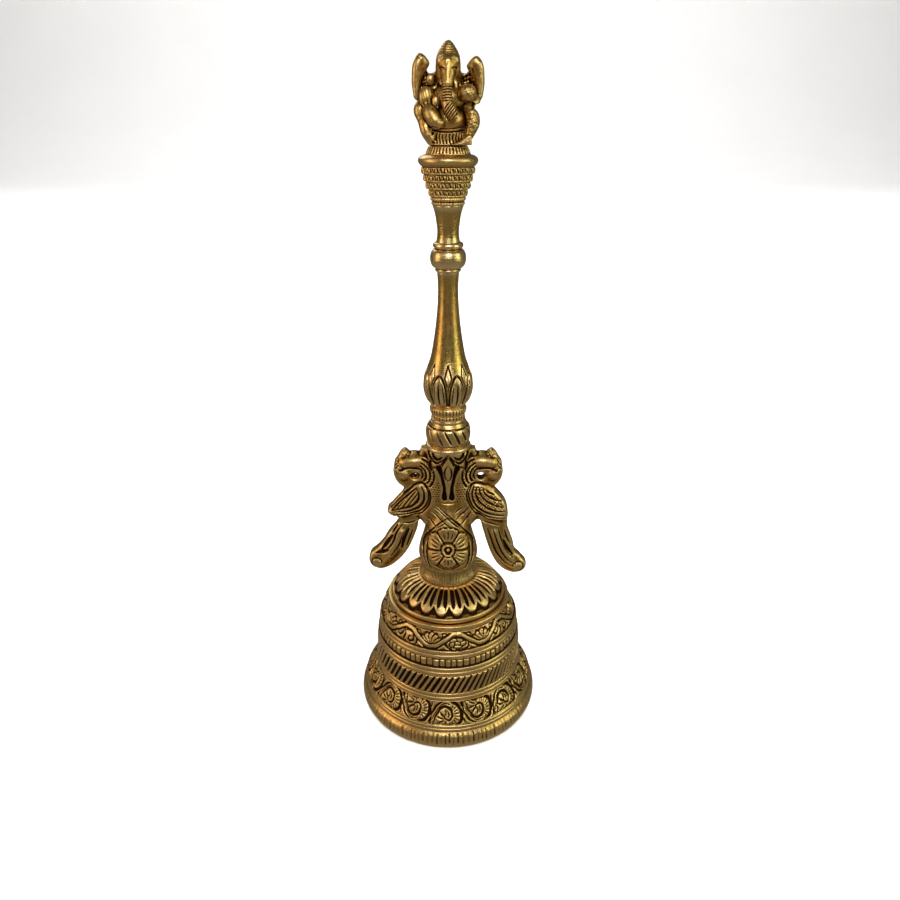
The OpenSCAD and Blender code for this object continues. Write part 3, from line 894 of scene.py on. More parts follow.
def figure_head(clay, height):
    """Smooth domed head that narrows into the trunk, with a short tusk on either side."""
    clay.join(ball((0, -0.6, 19.2), (3.0, 2.9, 3.6)), 0.5)
    clay.join(lathe([(2.8, 16.4), (3.05, 18.6), (3.10, 20.8), (2.92, 22.1), (2.42, 23.4), (1.70, 24.5),
                     (0.85, height - 0.3), (0.05, height)]), 0.4)
    for side in SIDES:
        clay.join(ball((side * 1.1, -2.6, 21.2), (1.5, 0.8, 1.3)), 0.7)
    clay.join(limb([(1.3, -3.4, 17.4, 0.5), (1.8, -4.0, 16.3, 0.5), (1.9, -4.2, 15.3, 0.35)]), 0.15)
    clay.join(limb([(-1.4, -3.4, 16.8, 0.4), (-1.7, -3.8, 16.1, 0.4)]), 0.15)
    clay.join(limb([(0, -2.0, 20.4, 2.1), (0, -2.9, 18.6, 1.8), (-0.1, -4.0, 16.8, 1.4),
                    (-0.2, -4.8, 15.0, 1.3), (-0.15, -5.2, 13.2, 1.5), (0.1, -5.6, 11.6, 1.7),
                    (0.6, -5.9, 10.2, 1.65), (0.9, -6.0, 9.0, 1.1), (0.9, -5.9, 8.3, 0.7)]), 0.3)


def figure_recesses(clay):
    """Deep lines between the head, the arms and the legs, each along points (x, y, z, half width)."""
    on_both = [[(3.3, -2.2, 19.8, 0.25), (3.3, -2.5, 17.6, 0.42), (2.6, -3.2, 15.8, 0.35)],
               [(5.9, -1.2, 19.4, 0.2), (6.3, -1.2, 17.2, 0.45), (6.9, -1.2, 14.6, 0.25)],
               [(3.4, -1.6, 16.2, 0.3), (5.0, -1.8, 15.9, 0.35), (6.3, -1.6, 16.2, 0.3)]]
    for side in SIDES:
        for line in on_both:
            clay.cut(limb(on_side(side, line)), 0.2)
    lines = [[(4.2, -3.8, 11.2, 0.8), (5.4, -2.6, 11.5, 1.05), (6.9, -1.4, 11.5, 0.9)],
             [(3.9, -3.8, 10.2, 0.35), (4.15, -4.5, 8.0, 0.40), (4.0, -4.8, 6.0, 0.35),
              (3.9, -5.0, 4.6, 0.2)],
             [(-5.6, -3.5, 8.4, 0.2), (-4.6, -4.2, 6.4, 0.24), (-4.0, -4.4, 4.8, 0.24),
              (-3.7, -4.5, 3.2, 0.15)],
             [(-6.6, -3.1, 11.6, 0.2), (-5.9, -3.5, 10.4, 0.35), (-5.8, -3.4, 9.2, 0.2)],
             [(-2.4, -4.9, 11.0, 0.3), (-1.5, -5.8, 9.6, 0.35), (-0.6, -6.4, 8.2, 0.25)],
             [(-3.4, -3.4, 13.6, 0.3), (-3.3, -3.6, 12.2, 0.35), (-2.9, -4.2, 11.2, 0.25)]]
    for line in lines:
        clay.cut(limb(line), 0.18)


def rough(x, y, z):
    """Uneven pits of old casting, 0 to 1."""
    a = np.sin(3.1 * x + 1.3 * np.sin(2.3 * z)) * np.sin(2.9 * z + 1.1 * np.sin(2.1 * x + y))
    b = np.sin(6.3 * x - 4.1 * z + y) * np.sin(5.7 * z + 3.3 * x)
    return np.clip(0.5 + 0.4 * a + 0.3 * b, 0, 1)


def head_marks(x, y, z):
    """Rings of the crown, slanting lines on the brow, and the slits of the eyes."""
    side = np.abs(x)
    rings = 0.09 * cord(wrap(z / 0.55), 0.24) * window(23.0, 25.4, z, 0.3)
    rings = rings + 0.10 * cord(wrap((side + z) / 0.8), 0.2) * window(21.9, 22.9, z, 0.3)
    slit = 0.12 * cord(to_curve(side, z, [(0.9, 19.5), (1.5, 19.75), (2.2, 19.5)])[0], 0.2)
    return rings * ramp(0.6, -0.4, y) + slit * ramp(-1.8, -2.4, y)


def pocket_pits(x, y, z):
    """Pits on the floor of the pockets between the head and the blades."""
    pocket = window(3.1, 6.7, np.abs(x), 0.4) * window(15.3, 19.3, z, 0.4) * window(-0.5, 1.8, y, 0.3)
    return 0.45 * rough(0.8 * x, y, 0.8 * z + 0.4) * pocket


def trunk_marks(x, y, z):
    """Folds across the trunk, slanting ones on its tip, and a string of beads beside it."""
    to_trunk, _ = to_curve(x, z, [(0, 19), (-0.1, 16), (-0.2, 14.2), (-0.1, 12.6), (0.3, 11.2)])
    folds = 0.26 * cord(wrap((z + 0.10 * x * x) / 0.62), 0.28)
    folds = folds * window(11.9, 16.3, z, 0.5) * ramp(1.6, 1.3, to_trunk)
    low_trunk = ramp(1.9, 1.5, np.hypot((x - 0.75) / 0.95, (z - 10.1) / 1.35))
    tip = 0.26 * cord(wrap((x * 0.80 - z * 0.62) / 0.60), 0.28) * low_trunk
    beads = 0.22 * rough(1.7 * x, y, 1.7 * z) * ramp(1.3, 0.9, np.hypot((x - 1.5) / 0.8, (z - 12.9) / 1.2))
    return (deepest(folds, tip) + beads) * ramp(-4.2, -4.8, y)


def hand_marks(x, y, z):
    """Lines of the flat palm, grains of the sweets, and the worn knee."""
    palm = 0.07 * cord(wrap((x * 0.95 + z * 0.25) / 0.9), 0.2)
    palm = palm * ramp(2.2, 1.6, np.hypot(x + 5.4, (z - 13.0) * 0.75))
    sweets = 0.13 * rough(x, y, z) * ramp(2.3, 1.7, np.hypot(x - 4.8, z - 13.9))
    knee = 0.17 * rough(1.1 * x + 0.3 * z, y, 1.1 * z)
    knee = knee * ramp(1.0, 0.8, np.hypot((x - 6.1) / 1.75, (z - 7.4) / 2.8)) * ramp(-2.8, -3.4, y)
    return palm * ramp(-3.0, -3.5, y) + sweets * ramp(-3.2, -3.8, y) + knee


def robe_marks(x, y, z):
    """Pleats of the robe and of the seat's rim, and the lines that edge them."""
    skirt_pleats, seat_pleats = 34, 38
    side = np.abs(x)
    turn = np.arctan2(x, -y)
    hem = 0.27 * ramp(0.12, 0.45, np.abs(wrap(turn * skirt_pleats / TAU + 0.15 * np.sin(z * 2))))
    skirt = hem * window(2.4, 5.2 + 0.03 * x * x, z, 0.4) * ramp(4.4, 3.8, side) * (y < 0)
    skirt = skirt * (1 - ramp(0.1, -0.1, to_outline(x, z, rounded(FOOT, 4, closed=True))))
    seat = 0.28 * ramp(0.12, 0.5, np.abs(wrap(turn * seat_pleats / TAU))) * window(0.25, 1.9, z, 0.25)
    lines = 0.26 * cord(z - 2.15, 0.2) + 0.3 * cord(z - 5.3 - 0.03 * x * x, 0.24) * (y < -2) * (side < 4.2)
    lines = lines + 0.18 * cord(z - 6.0 - 0.04 * x * x, 0.16) * (y < -2) * (side < 4)
    return deepest(skirt, seat, lines)


def back_plaits(x, y, z):
    """A few plaits of hair down the plain back."""
    return 0.14 * cord(wrap((z + 0.25 * x * x) / 1.1), 0.2) * window(14.5, 23, z, 0.6) * ramp(1.2, 2.0, y)


def figure_marks(x, y, z):
    """Depth of all the chasing on the figure, with the faint roughness of its casting."""
    marks = (head_marks, pocket_pits, trunk_marks, hand_marks, robe_marks, back_plaits)
    return sum(mark(x, y, z) for mark in marks) + 0.05 * rough(0.6 * x, y, 0.6 * z)


def seated_figure():
    """Elephant-headed figure on a low seat: four arms, folded legs, ringed trunk and domed crown."""
    base, top = node_z("deity_finial")
    low, high = (-9.6, -8.4, -0.6), (9.6, 6.2, top - base + 0.8)
    clay = Clay(low, high, 0.12, lift=base)
    figure_body(clay)
    figure_blades(clay)
    figure_head(clay, top - base)
    figure_recesses(clay)
    clay.join(ball((-4.4, -0.6, 17.2), (1.0, 0.9, 1.3)), 0.2)
    clay.engrave(figure_marks, low, high)
    clay.cast("deity_finial_skin", "brass_antique", ["deity_finial"])


seated_figure()


# ---- bridge with two birds -----------------------------------------------------------------------

# Outlines and cuts of the birds, given on the +X side. Heights are above the flange.
BODY_POINTED = [(4, 12.6), (8.8, 15.2), (10.0, 11.6), (11.6, 7.2), (13.4, 3.4), (16.0, 0.0), (19.0, -2.6),
                (22.2, -3.7), (24.9, -2.6), (26.0, -0.2), (25.4, 2.4), (23.2, 4.4), (21.2, 6.8),
                (19.2, 10.2), (16.7, 13.4), (15.9, 15.0), (16.8, 17.6), (15.6, 20.8), (14.4, 24.0),
                (13.4, 27.2), (9.0, 29.2), (6, 32), (4, 34)]
BODY_ROUND = [(4, 12.6), (9.6, 15.2), (11.2, 11.4), (12.6, 6.6), (14.3, 1.8), (16.6, -2.2), (19.6, -4.6),
              (22.6, -5.2), (25.1, -3.8), (25.3, -1.2), (23.7, 1.4), (22.0, 3.2), (21.3, 6.0),
              (20.2, 9.2), (19.3, 12.0), (18.9, 16.0), (17.6, 20.6), (15.2, 24.4), (14.2, 27.2),
              (9.0, 29.2), (6, 32), (4, 34)]
HEAD = [(3, 30), (5, 40.2), (6.7, 41.4), (8.1, 41.0), (8.8, 38.8), (10.2, 37.6), (11.6, 38.3), (12.9, 39.6),
        (14.0, 39.5), (15.2, 38.0), (16.4, 35.6), (17.1, 33.0), (16.9, 30.6), (15.9, 28.5), (14.3, 27.0),
        (12.6, 26.4), (10, 26.6), (7, 27)]
WING_POINTED = [(19.4, 18.3), (17.8, 20.8), (15.6, 23.4), (13.0, 26.2), (10.6, 28.2), (8.2, 29.0),
                (6.1, 27.2), (5.5, 23.6), (6.9, 20.2), (9.8, 17.9), (14.2, 16.7), (17.2, 16.5)]
WING_ROUND = [(18.9, 15.6), (19.0, 19.2), (17.6, 22.6), (15.0, 25.6), (12.4, 27.8), (9.6, 28.9),
              (7.2, 28.4), (5.8, 25.6), (6.7, 21.6), (8.9, 18.4), (12.4, 16.2), (16.4, 15.2)]
CUTS_POINTED = [[(7.6, 28.6), (6.2, 26.2), (6.1, 23.4), (7.6, 20.6), (10.4, 18.7), (14.9, 17.7),
                 (17.6, 17.8)],
                [(8.4, 27.8), (7.5, 25.2), (7.9, 22.6), (9.6, 20.4), (12.6, 19.1), (17.0, 18.7)],
                [(9.9, 27.2), (9.2, 24.8), (9.7, 22.6), (11.6, 20.9), (14.6, 20.0), (17.8, 19.2)],
                [(9.9, 27.2), (12.2, 25.2), (14.4, 22.9), (16.4, 20.9), (17.8, 19.4)],
                [(10.9, 27.7), (13.4, 25.4), (15.9, 22.8), (18.2, 20.0)]]
CUTS_ROUND = [[(7.2, 28.0), (6.4, 25.2), (7.3, 21.8), (9.3, 19.1), (12.6, 17.0), (16.4, 16.1), (18.2, 16.2)],
              [(8.0, 27.8), (7.5, 25.2), (8.4, 22.0), (10.4, 19.6), (13.4, 18.0), (17.6, 17.3)],
              [(8.8, 27.4), (8.7, 25.0), (9.9, 22.4), (12.0, 20.4), (14.6, 19.2), (17.9, 18.7)],
              [(9.8, 27.0), (10.2, 25.0), (11.6, 23.0), (13.8, 21.4), (16.2, 20.5), (17.6, 20.3)],
              [(10.8, 26.8), (11.8, 25.0), (13.4, 23.7), (15.4, 22.8), (16.8, 22.6)],
              [(11.8, 26.6), (12.8, 25.6), (14.4, 24.8)]]
BIRDS = {-1: (BODY_POINTED, WING_POINTED, CUTS_POINTED), 1: (BODY_ROUND, WING_ROUND, CUTS_ROUND)}
SHOULDER_LINE = [(0, 13.0), (7.0, 13.6), (8.8, 16.0), (10.4, 19.4), (9.4, 24.0), (6.6, 28.4), (0, 30)]
STEM = [(6.2, 12), (6.6, 17), (6.4, 22), (5.9, 27), (5.6, 32), (6.0, 37), (6.4, 40.2)]
BULB = [(8.9, 0), (9.5, 1.4), (9.65, 3.2), (9.2, 6), (8.3, 9), (7.6, 11.6), (7.0, 14.4), (5.6, 18.4),
        (4.4, 22)]
FLOWER_H = 8.1
# Turn and half turn in degrees, and reach, of the petals on one side
PETALS = [(0, 34, 7.2), (66, 32, 7.1), (123, 25, 7.5), (180, 32, 6.2)]
HOLLOW = (10.2, 30.9)


def chest_lines(x, z):
    """Cuts on the middle of the bridge: crossed lines, border round the flower, leaves, drop and slots."""
    a = np.abs(x)
    cross = [[(-4.4, 21.0), (-1.0, 18.6), (3.6, 14.4), (5.8, 12.4)],
             [(-5.3, 19.6), (-1.9, 17.0), (2.4, 13.6)], [(-3.4, 21.4), (0.6, 18.2), (4.4, 15.0)],
             [(4.4, 21.0), (2.2, 19.4)], [(5.3, 19.6), (2.6, 17.4)],
             [(-1.2, 16.2), (-6.4, 12.4)], [(-6.6, 17.6), (-3.9, 14.8)], [(6.6, 17.6), (3.9, 15.2)],
             [(6.9, 21.4), (4.6, 18.4)], [(7.8, 20.2), (5.6, 16.8)]]
    border = [[(-0.8, 18.4), (1.7, 17.0), (4.1, 14.6), (6.1, 11.9), (7.7, 8.7), (8.0, 5.2), (7.4, 2.4),
               (5.8, 0.1)],
              [(5.5, 11.8), (6.5, 8.8), (6.8, 5.1), (6.0, 1.7), (4.3, -0.3)]]
    cut = engraved(a, z, border, 0.34, 0.45) * (z > 0.2)
    cut = np.maximum(cut, engraved(x, z, cross, 0.28, 0.38))
    leaves = [[(6.2, 40.6), (5.2, 38.0), (3.4, 36.9), (1.5, 38.0), (0.1, 40.0)],
              [(4.8, 40.4), (4.2, 38.8), (3.1, 38.2), (1.9, 39.2)],
              [(0.1, 39.6), (1.4, 37.5), (2.6, 35.8), (4.8, 34.9)], [(5.2, 37.4), (5.6, 35.4), (5.2, 33.4)]]
    cut = np.maximum(cut, engraved(a, z, leaves, 0.58, 0.80))
    slot, along = to_curve(a, z, [(2.9, 35.4), (2.2, 33.4), (1.65, 30.8), (1.15, 28.0), (1.15, 25.4),
                                  (1.15, 24.2)])
    wide = 0.48 + 0.34 * ramp(0.75, 0.95, along) + 0.42 * ramp(0.35, 0, along)
    cut = np.maximum(cut, 2.2 * cord(slot, wide))
    bud = engraved(a, z, [[(0, 36.4), (0.9, 34.8), (1.1, 33.0), (0.6, 31.4), (0, 30.6)]], 0.3, 0.5)
    cut = np.maximum(cut, bud)
    stipple = cord(np.hypot(wrap(x / 0.85 + 0.5 * (np.round(z / 0.8) % 2)), wrap(z / 0.8)), 0.34)
    panel = window(2.3, 6.2, a, 0.5) * window(22.6, 30.4, z, 0.8)
    return np.maximum(cut, 0.20 * stipple * panel)


def neck_lines(x, z):
    """Feathers of the neck, in arcs around its hollow."""
    out = np.hypot(x - HOLLOW[0], z - HOLLOW[1] - 0.6)
    turn = np.degrees(np.arctan2(z - HOLLOW[1] - 0.6, HOLLOW[0] - x))
    arcs = cord(wrap((out - 2.2 - 0.004 * turn) / 1.22) * 1.22, 0.36) * window(1.9, 6.6, out, 0.4)
    barbs = 0.45 * cord(wrap(turn / 11 + 0.5 * np.round(out / 1.22)), 0.24) * window(3.0, 6.0, out, 0.4)
    return 0.55 * np.maximum(arcs, barbs) * window(-46, 74, turn, 14) * (x > 2.8)


def tail_lines(x, z, side):
    """Grooves along a tail, with dark hollows where it bends, and the line that curls round its tip."""
    if side < 0:
        grooves = [[(9.6, 15.4), (12.2, 14.4), (14.9, 14.4)], [(16.2, 13.4), (18.0, 10.4)],
                   [(12.6, 13.0), (14.6, 10.0), (15.9, 6.4), (18.6, 2.2)],
                   [(14.5, 13.8), (16.6, 10.8), (17.9, 7.2), (20.4, 3.6)],
                   [(11.4, 11.8), (12.4, 8.8), (13.6, 5.4)]]
        hollows = [[(18.0, 9.6), (19.6, 7.2), (21.6, 4.2)], [(12.7, 12.0), (14.3, 8.6), (15.0, 5.0)],
                   [(19.6, 4.2), (21.8, 3.4), (23.6, 2.8)]]
        tip = (23.4, -0.6)
    else:
        grooves = [[(10.4, 15.2), (13.0, 14.4), (16.4, 13.2)], [(18.2, 11.6), (19.0, 8.8), (20.2, 6.4)],
                   [(12.6, 12.4), (13.9, 8.4), (15.6, 3.6), (18.4, -0.4), (21.6, -2.4)],
                   [(14.3, 12.6), (15.6, 8.4), (17.4, 3.8), (19.8, 0.4), (22.2, -1.2)],
                   [(16.2, 11.8), (17.2, 8.4), (19.0, 4.2), (21.2, 1.4)]]
        hollows = [[(17.8, 8.0), (19.0, 5.2), (21.0, 2.4)]]
        tip = (23.0, -2.0)
    cut = np.maximum(engraved(x, z, grooves, 0.34, 0.42), engraved(x, z, hollows, 0.66, 0.75))
    curl = np.abs(np.hypot(x - tip[0], z - tip[1]) - 1.7)
    return np.maximum(cut, 0.26 * cord(curl, 0.30) * (z - tip[1] + 0.9 * (x - tip[0]) > -1.4) * (x > 21.0))


def wing_lines(x, z, side):
    """Bold cuts that fan out along a wing, strokes between them on one bird and scales on the other."""
    wing, cuts = BIRDS[side][1:]
    inner = -to_outline(x, z, rounded(wing, 5, closed=True))
    cut = np.maximum(0.60 * cord(inner - 0.05, 0.34) * ramp(12.5, 9.5, x), engraved(x, z, cuts, 0.46, 0.60))
    if side < 0:
        leaf = [(9.9, 26.6), (14.4, 22.8), (17.6, 19.6), (14.6, 20.1), (11.6, 21.0), (9.9, 22.6), (9.3, 24.8)]
        strokes = 0.42 * cord(wrap((x * 0.75 + z * 0.55) / 1.0), 0.27)
        fill = strokes * ramp(-0.1, -0.4, to_outline(x, z, rounded(leaf, 4, closed=True)))
    else:
        scales = 0.34 * (1 - cord(np.hypot(wrap((x + z) / 1.1), wrap((x - z) / 1.1)), 0.46))
        fill = scales * window(1.0, 7.0, inner, 0.4) * ramp(19.2, 20.0, z)
    return np.maximum(cut, fill) * (inner > -0.4)


def flower_relief(x, z):
    """Lobed petals with veins around a double ring, on a sunk ground. Positive sinks the skin."""
    h = z - FLOWER_H
    out = np.hypot(x, h)
    turn = np.degrees(np.arctan2(np.abs(x), h))
    top = 0
    for middle, half, reach in PETALS:
        share = np.clip((turn - middle) / half, -1, 1)
        arc = (half - np.abs(turn - middle)) * out * math.pi / 180
        edge = reach * (1 - 0.20 * share ** 4 - 0.05 * np.abs(np.sin(2.5 * np.pi * share)))
        petal = ramp(edge + 0.1, edge - 0.3, out) * ramp(0.05, 0.5, arc)
        veins = cord(wrap(share * 2), 0.20) * window(3.2, edge - 1.0 - np.abs(share), out, 0.5)
        top = np.maximum(top, petal * (1 - 0.45 * veins))
    ring = np.maximum(1.15 * cord(out - 1.6, 0.46), 0.9 * cord(out, 0.62))
    gap = 0.40 * cord(out - 2.4, 0.28)
    return 0.32 - 0.54 * top * (out > 2.2) - 0.85 * ring + gap


def bird(clay, side):
    """Body with its tail, wing, and a neck that bends out to a head with a bar across and a round bill."""
    body, wing, _ = BIRDS[side]
    clay.join(plate(on_side(side, body), 2.2, 1.3), 0.8)
    clay.join(plate(on_side(side, HEAD), 2.0, 1.3), 0.8)
    clay.join(plate(on_side(side, wing), 3.1, 1.8), 0.6)
    neck = [(5.6, 0, 28, 2.6), (5.8, 0, 32, 2.8), (7.0, 0, 35.0, 2.8), (8.4, 0, 36.0, 2.4)]
    clay.join(limb(on_side(side, neck), 0.8), 0.5)
    bar = [(7.8, 0, 36.0, 2.1), (10.8, 0, 36.2, 2.4), (13.4, 0, 35.6, 2.1)]
    clay.join(limb(on_side(side, bar), 0.66), 0.3)
    clay.join(ball((side * 14.1, 0, 31.7), (2.5, 3.0, 2.4)), 0.7)
    clay.join(limb(on_side(side, [(15.4, 0, 35.2, 1.3), (14.9, 0, 33.2, 1.5)]), 0.5), 0.5)
    drop = 0 if side < 0 else 1.6
    tail = [(15, 0, 10.6, 1.7), (18.9, 0, 3.4 - drop / 2, 1.9), (22.2, 0, -0.8 - drop, 1.8)]
    clay.join(limb(on_side(side, tail), 0.6), 1.2)
    clay.join(ball((side * 23.3, 0, -0.6 - drop), (2.6, 3.0, 2.6)), 0.9)
    for face in SIDES:
        clay.cut(ball((side * (HOLLOW[0] + 0.1), face * 3.5, HOLLOW[1] + 0.1), (2.2, 2.4, 1.8)), 0.3)


def peacock_bridge():
    """One casting: a round bulb with a flower, a stem, and a bird on either side that bends its neck out."""
    seat = node_z("crown_flange")[1]
    collar = node_z("collar_seat")[0] - seat
    low, high = (-27, -11, -5.8), (27, 11, collar + 1.6)
    clay = Clay(low, high, 0.17, lift=seat)
    clay.join(plate(mirrored([(0, 12)] + STEM + [(0, 40.2)]), 4.0, 2.4), 0.4)
    clay.join(plate(mirrored(SHOULDER_LINE), 3.7, 2.2), 0.8)
    clay.join(lathe([(1.2, 19), (3.6, 24), (4.9, 30), (5.8, 34), (6.25, collar - 1.5), (6.3, collar)]), 1.6)
    for side in SIDES:
        bird(clay, side)
    clay.join(lathe(BULB), 1.0)
    clay.cut(limb([(HOLLOW[0], -9, HOLLOW[1], 1.15), (HOLLOW[0], 9, HOLLOW[1], 1.15)]), 0.25)
    clay.cut(limb([(-HOLLOW[0], -9, HOLLOW[1], 0.6), (-HOLLOW[0], 9, HOLLOW[1], 0.6)]), 0.25)

    def faces(x, y, z):
        """Cuts of the chest, necks, wings and tails on both flat sides, and the flower on the bulb."""
        cut = 0
        chest = chest_lines(x, z)
        for side in SIDES:
            out = side * x
            own = deepest(chest, neck_lines(out, z), tail_lines(out, z, side))
            over_wing = to_outline(out, z, rounded(BIRDS[side][1], 5, closed=True)) < 0.3
            cut = cut + np.where(over_wing, wing_lines(out, z, side), own) * (out > 0)
        off = np.hypot(x / 0.95, z - FLOWER_H)
        near_flower = ramp(7.5, 6.9, off) * ramp(3.6, 4.8, np.abs(y))
        return cut * ramp(0.9, 1.6, np.abs(y)) * (1 - near_flower) + flower_relief(x, z) * near_flower

    def crest_marks(x, y, z):
        """Short crossed cuts in the crest above the bar, and a line under the bar."""
        a = np.abs(x)
        hatch = 1 - cord(wrap((a * 0.8 + z * 0.6) / 0.8), 0.40) * cord(wrap((a * 0.6 - z * 0.8) / 0.9), 0.44)
        above = ramp(37.6, 38.2, z) + ramp(14.8, 15.4, a) * ramp(33.0, 33.6, z)
        area = ramp(0.0, -0.4, to_outline(a, z, rounded(HEAD, 4, closed=True))) * (a > 9.4)
        under = 0.50 * cord(to_curve(a, z, [(8.4, 33.4), (11.4, 33.8), (13.4, 33.7), (15.0, 33.2)])[0], 0.42)
        return 0.24 * hatch * area * np.clip(above, 0, 1) + under * (np.abs(y) > 1)

    clay.engrave(faces, low, (high[0], high[1], collar + 1))
    clay.engrave(crest_marks, (-18, -4.6, 28), (18, 4.6, 40.4))
    clay.cut(lathe([(9, collar), (9, collar + 1.5)]), 0.02)
    clay.cast("peacock_bridge_skin", "brass_antique", ["peacock_bridge"])


peacock_bridge()


# ---- clapper and its fastenings -------------------------------------------------------------------

IRON_CELL = 0.12           # grid cell of these small pieces


def wire_ring(centre_z, ring_r, wire_r):
    """A ring of round wire, upright in the plane of Y and Z."""

    def form(x, y, z):
        return np.hypot(np.hypot(y, z - centre_z) - ring_r, x) - wire_r

    reach = ring_r + wire_r
    return form, np.array([-reach, -reach, centre_z - reach]), np.array([reach, reach, centre_z + reach])


def hammered(x, y, z):
    """Shallow uneven forging marks."""
    return 0.035 * (1 + np.sin(2.1 * x + 1.7 * z) * np.sin(1.9 * y - 1.3 * z) * np.sin(0.8 * z))


def eyebolt():
    """The bolt through the bell's crown, with an open thread and the eye that carries the link."""
    low, high = node_z("crown_eyebolt")
    nut_low, nut_high = node_z("crown_nut")
    eye_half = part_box("crown_eyebolt")[1].y / MM
    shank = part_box("crown_eyebolt")[1].x / MM
    wire = 1.05
    clay = Clay((-3.4, -5.2, low - 0.8), (3.4, 5.2, nut_high + 6), IRON_CELL)
    clay.join(wire_ring(low + eye_half, eye_half - wire, wire))
    clay.join(limb([(0, 0, low + 2 * eye_half - wire, 1.7), (0, 0, nut_low - 0.4, shank - 0.05),
                    (0, 0, nut_high + 4, shank - 0.05)]), 0.5)

    def thread(x, y, z):
        """Depth of a thread of 0.7 mm pitch."""
        turns = wrap(z / 0.7 + np.arctan2(y, x) / TAU)
        return 0.22 * ramp(0.1, 0.5, np.abs(turns)) * ramp(nut_low - 1.7, nut_low - 1.2, z)

    clay.engrave(thread, (-3.4, -5.2, nut_low - 2), (3.4, 5.2, nut_high + 6))
    clay.engrave(hammered, (-3.4, -5.2, low - 0.8), (3.4, 5.2, nut_low))
    clay.cast("crown_eyebolt_skin", "iron", ["crown_eyebolt"])


def nut():
    """A hexagon nut with chamfered corners, as wide across its flats as the CAD one."""
    low, high = node_z("crown_nut")
    middle, half_h = (low + high) / 2, (high - low) / 2
    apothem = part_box("crown_nut")[1].y / MM
    shank = node_r("crown_eyebolt")

    def hexagon(x, y, z):
        flats = np.maximum(np.abs(y), np.abs(y) / 2 + np.abs(x) * math.cos(math.pi / 6)) - apothem
        chamfer = np.hypot(x, y) + 1.2 * np.abs(z - middle) - apothem - 1.95
        ends = np.abs(z - middle) - half_h + 0.02
        hole = shank + 0.08 - np.hypot(x, y)
        return deepest(flats, ends, chamfer, hole)

    clay = Clay((-5.4, -5.4, low - 0.8), (5.4, 5.4, high + 0.8), IRON_CELL)
    clay.join((hexagon, np.array([-5, -5, low]), np.array([5, 5, high])), 0.02)
    clay.cast("crown_nut_skin", "brass_dark", ["crown_nut"])


def link():
    """A long link of round wire, with two straight sides and two round ends."""
    low, high = node_z("clapper_link")
    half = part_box("clapper_link")[1].x / MM
    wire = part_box("clapper_link")[1].y / MM
    straight = (high - low) / 2 - half

    def form(x, y, z):
        off = np.maximum(np.abs(z - (low + high) / 2) - straight, 0)
        return np.hypot(np.hypot(x, off) - (half - wire), y) - wire

    clay = Clay((-4.2, -1.8, low - 0.8), (4.2, 1.8, high + 0.8), IRON_CELL)
    clay.join((form, np.array([-half, -wire, low]), np.array([half, wire, high])))
    clay.engrave(hammered, (-4.2, -1.8, low - 0.8), (4.2, 1.8, high + 0.8))
    clay.cast("clapper_link_skin", "iron", ["clapper_link"], "link")


def rod():
    """The clapper's rod, with the loop at its top that hangs in the link."""
    low, high = node_z("clapper_rod")
    ball_high = node_z("clapper_ball")[1]
    loop_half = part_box("clapper_rod")[1].y / MM
    wire = 1
    clay = Clay((-2.2, -4.6, low - 0.6), (2.2, 4.6, high + 0.8), IRON_CELL)
    clay.join(wire_ring(high - loop_half, loop_half - wire, wire))
    clay.join(limb([(0, 0, high - 2 * loop_half + 0.6, 1.1), (0, 0, ball_high + 2, 1.2),
                    (0, 0, ball_high - 1, 1.3), (0, 0, low + 1.3, 1.3)]), 0.4)
    clay.engrave(hammered, (-2.2, -4.6, low - 0.6), (2.2, 4.6, high + 0.8))
    clay.cast("clapper_rod_skin", "iron", ["clapper_rod"], "clapper")


eyebolt()
nut()
link()
rod()


# ---- camera, lights and backdrop -----------------------------------------------------------------


# Metres and degrees from here on
EYE = (0, -0.198, 0.1851)
LOOK_DOWN = 24.93
LENS = 28.26
MIDDLE = (0, 0, 0.1)       # what the lights aim at


def camera():
    """A close camera, level with the seated figure and looking down."""
    data = bpy.data.cameras.new("camera")
    data.lens = LENS
    data.sensor_width = 36
    data.shift_x = 0.0021
    data.clip_start = 0.005
    made = bpy.data.objects.new("camera", data)
    bpy.context.scene.collection.objects.link(made)
    made.location = EYE
    made.rotation_euler = (math.radians(90 - LOOK_DOWN), 0, 0)
    bpy.context.scene.camera = made


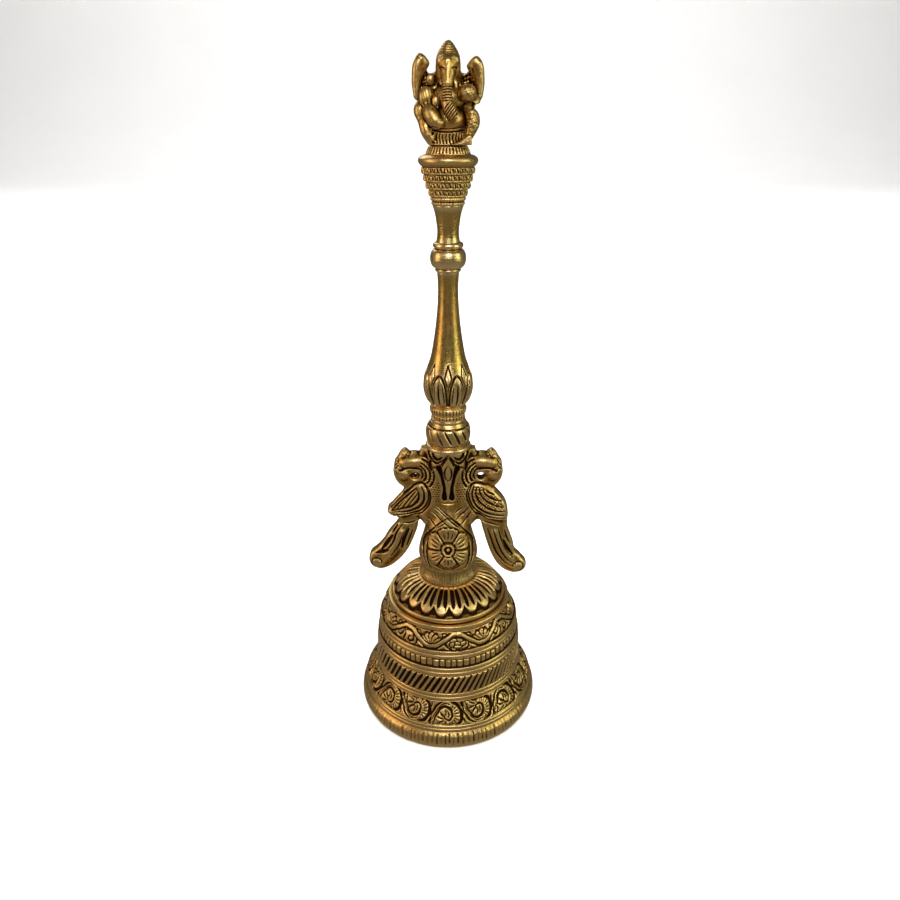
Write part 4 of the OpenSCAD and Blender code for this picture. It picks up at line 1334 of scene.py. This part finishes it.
def backdrop():
    """A pale floor that sweeps up into a wall behind. The metal doesn't mirror it."""
    width, depth, bend, wall = 6.0, 2.2, 0.8, 3.0
    arc = [(depth + bend * math.sin(a), bend - bend * math.cos(a)) for a in np.linspace(0, math.pi / 2, 24)]
    section = [(-4.0, 0.0)] + arc + [(depth + bend, wall)]
    points = [(x, y, z - 0.00005) for y, z in section for x in (-width, width)]
    faces = [(2 * k, 2 * k + 1, 2 * k + 3, 2 * k + 2) for k in range(len(section) - 1)]
    mesh = bpy.data.meshes.new("backdrop")
    mesh.from_pydata(points, [], faces)
    mesh.polygons.foreach_set("use_smooth", [True] * len(mesh.polygons))
    mesh.materials.append(plain_stage("pale_paper", (0.95, 0.95, 0.95, 1)))
    made = bpy.data.objects.new("backdrop", mesh)
    bpy.context.scene.collection.objects.link(made)
    made.visible_glossy = False


def softbox(name, place, target, size, watts, colour=(1, 1, 1)):
    """A rectangular light that looks from its place at a target."""
    data = bpy.data.lights.new(name, "AREA")
    data.shape = "RECTANGLE"
    data.size, data.size_y = size
    data.energy = watts
    data.color = colour
    made = bpy.data.objects.new(name, data)
    bpy.context.scene.collection.objects.link(made)
    made.location = place
    made.rotation_euler = (Vector(target) - Vector(place)).to_track_quat("-Z", "Y").to_euler()
    return made


def world():
    """Dim room light, brighter from below where it comes off the pale table."""
    made = bpy.data.worlds.new("studio")
    made.use_nodes = True
    tree = made.node_tree
    light = tree.nodes["Background"]
    light.inputs["Color"].default_value = (1.0, 0.93, 0.80, 1)
    place = tree.nodes.new("ShaderNodeTexCoord")
    split = tree.nodes.new("ShaderNodeSeparateXYZ")
    fade = tree.nodes.new("ShaderNodeMapRange")
    tree.links.new(place.outputs["Generated"], split.inputs[0])
    tree.links.new(split.outputs["Z"], fade.inputs["Value"])
    for key, value in {"From Min": -0.75, "From Max": 0.05, "To Min": 0.27, "To Max": 0.13}.items():
        fade.inputs[key].default_value = value
    tree.links.new(fade.outputs[0], light.inputs["Strength"])
    bpy.context.scene.world = made


camera()
backdrop()
world()
bpy.context.scene.view_settings.view_transform = "Standard"
softbox("key", (0.03, -0.50, 0.50), (0, 0, 0.12), (0.26, 0.32), 1.65)
softbox("warm_side", (-0.75, -0.25, 0.30), MIDDLE, (0.35, 0.6), 1.8, (1.0, 0.74, 0.48))
softbox("cool_side", (0.70, -0.30, 0.35), MIDDLE, (0.35, 0.6), 1.8, (0.92, 1.0, 0.68))
softbox("back", (-0.30, 0.60, 0.60), MIDDLE, (0.4, 0.4), 1.2)
wash = softbox("wash", (0, 0.6, 1.9), (0, 0.9, 0), (3.0, 3.0), 95)
wash.visible_glossy = False
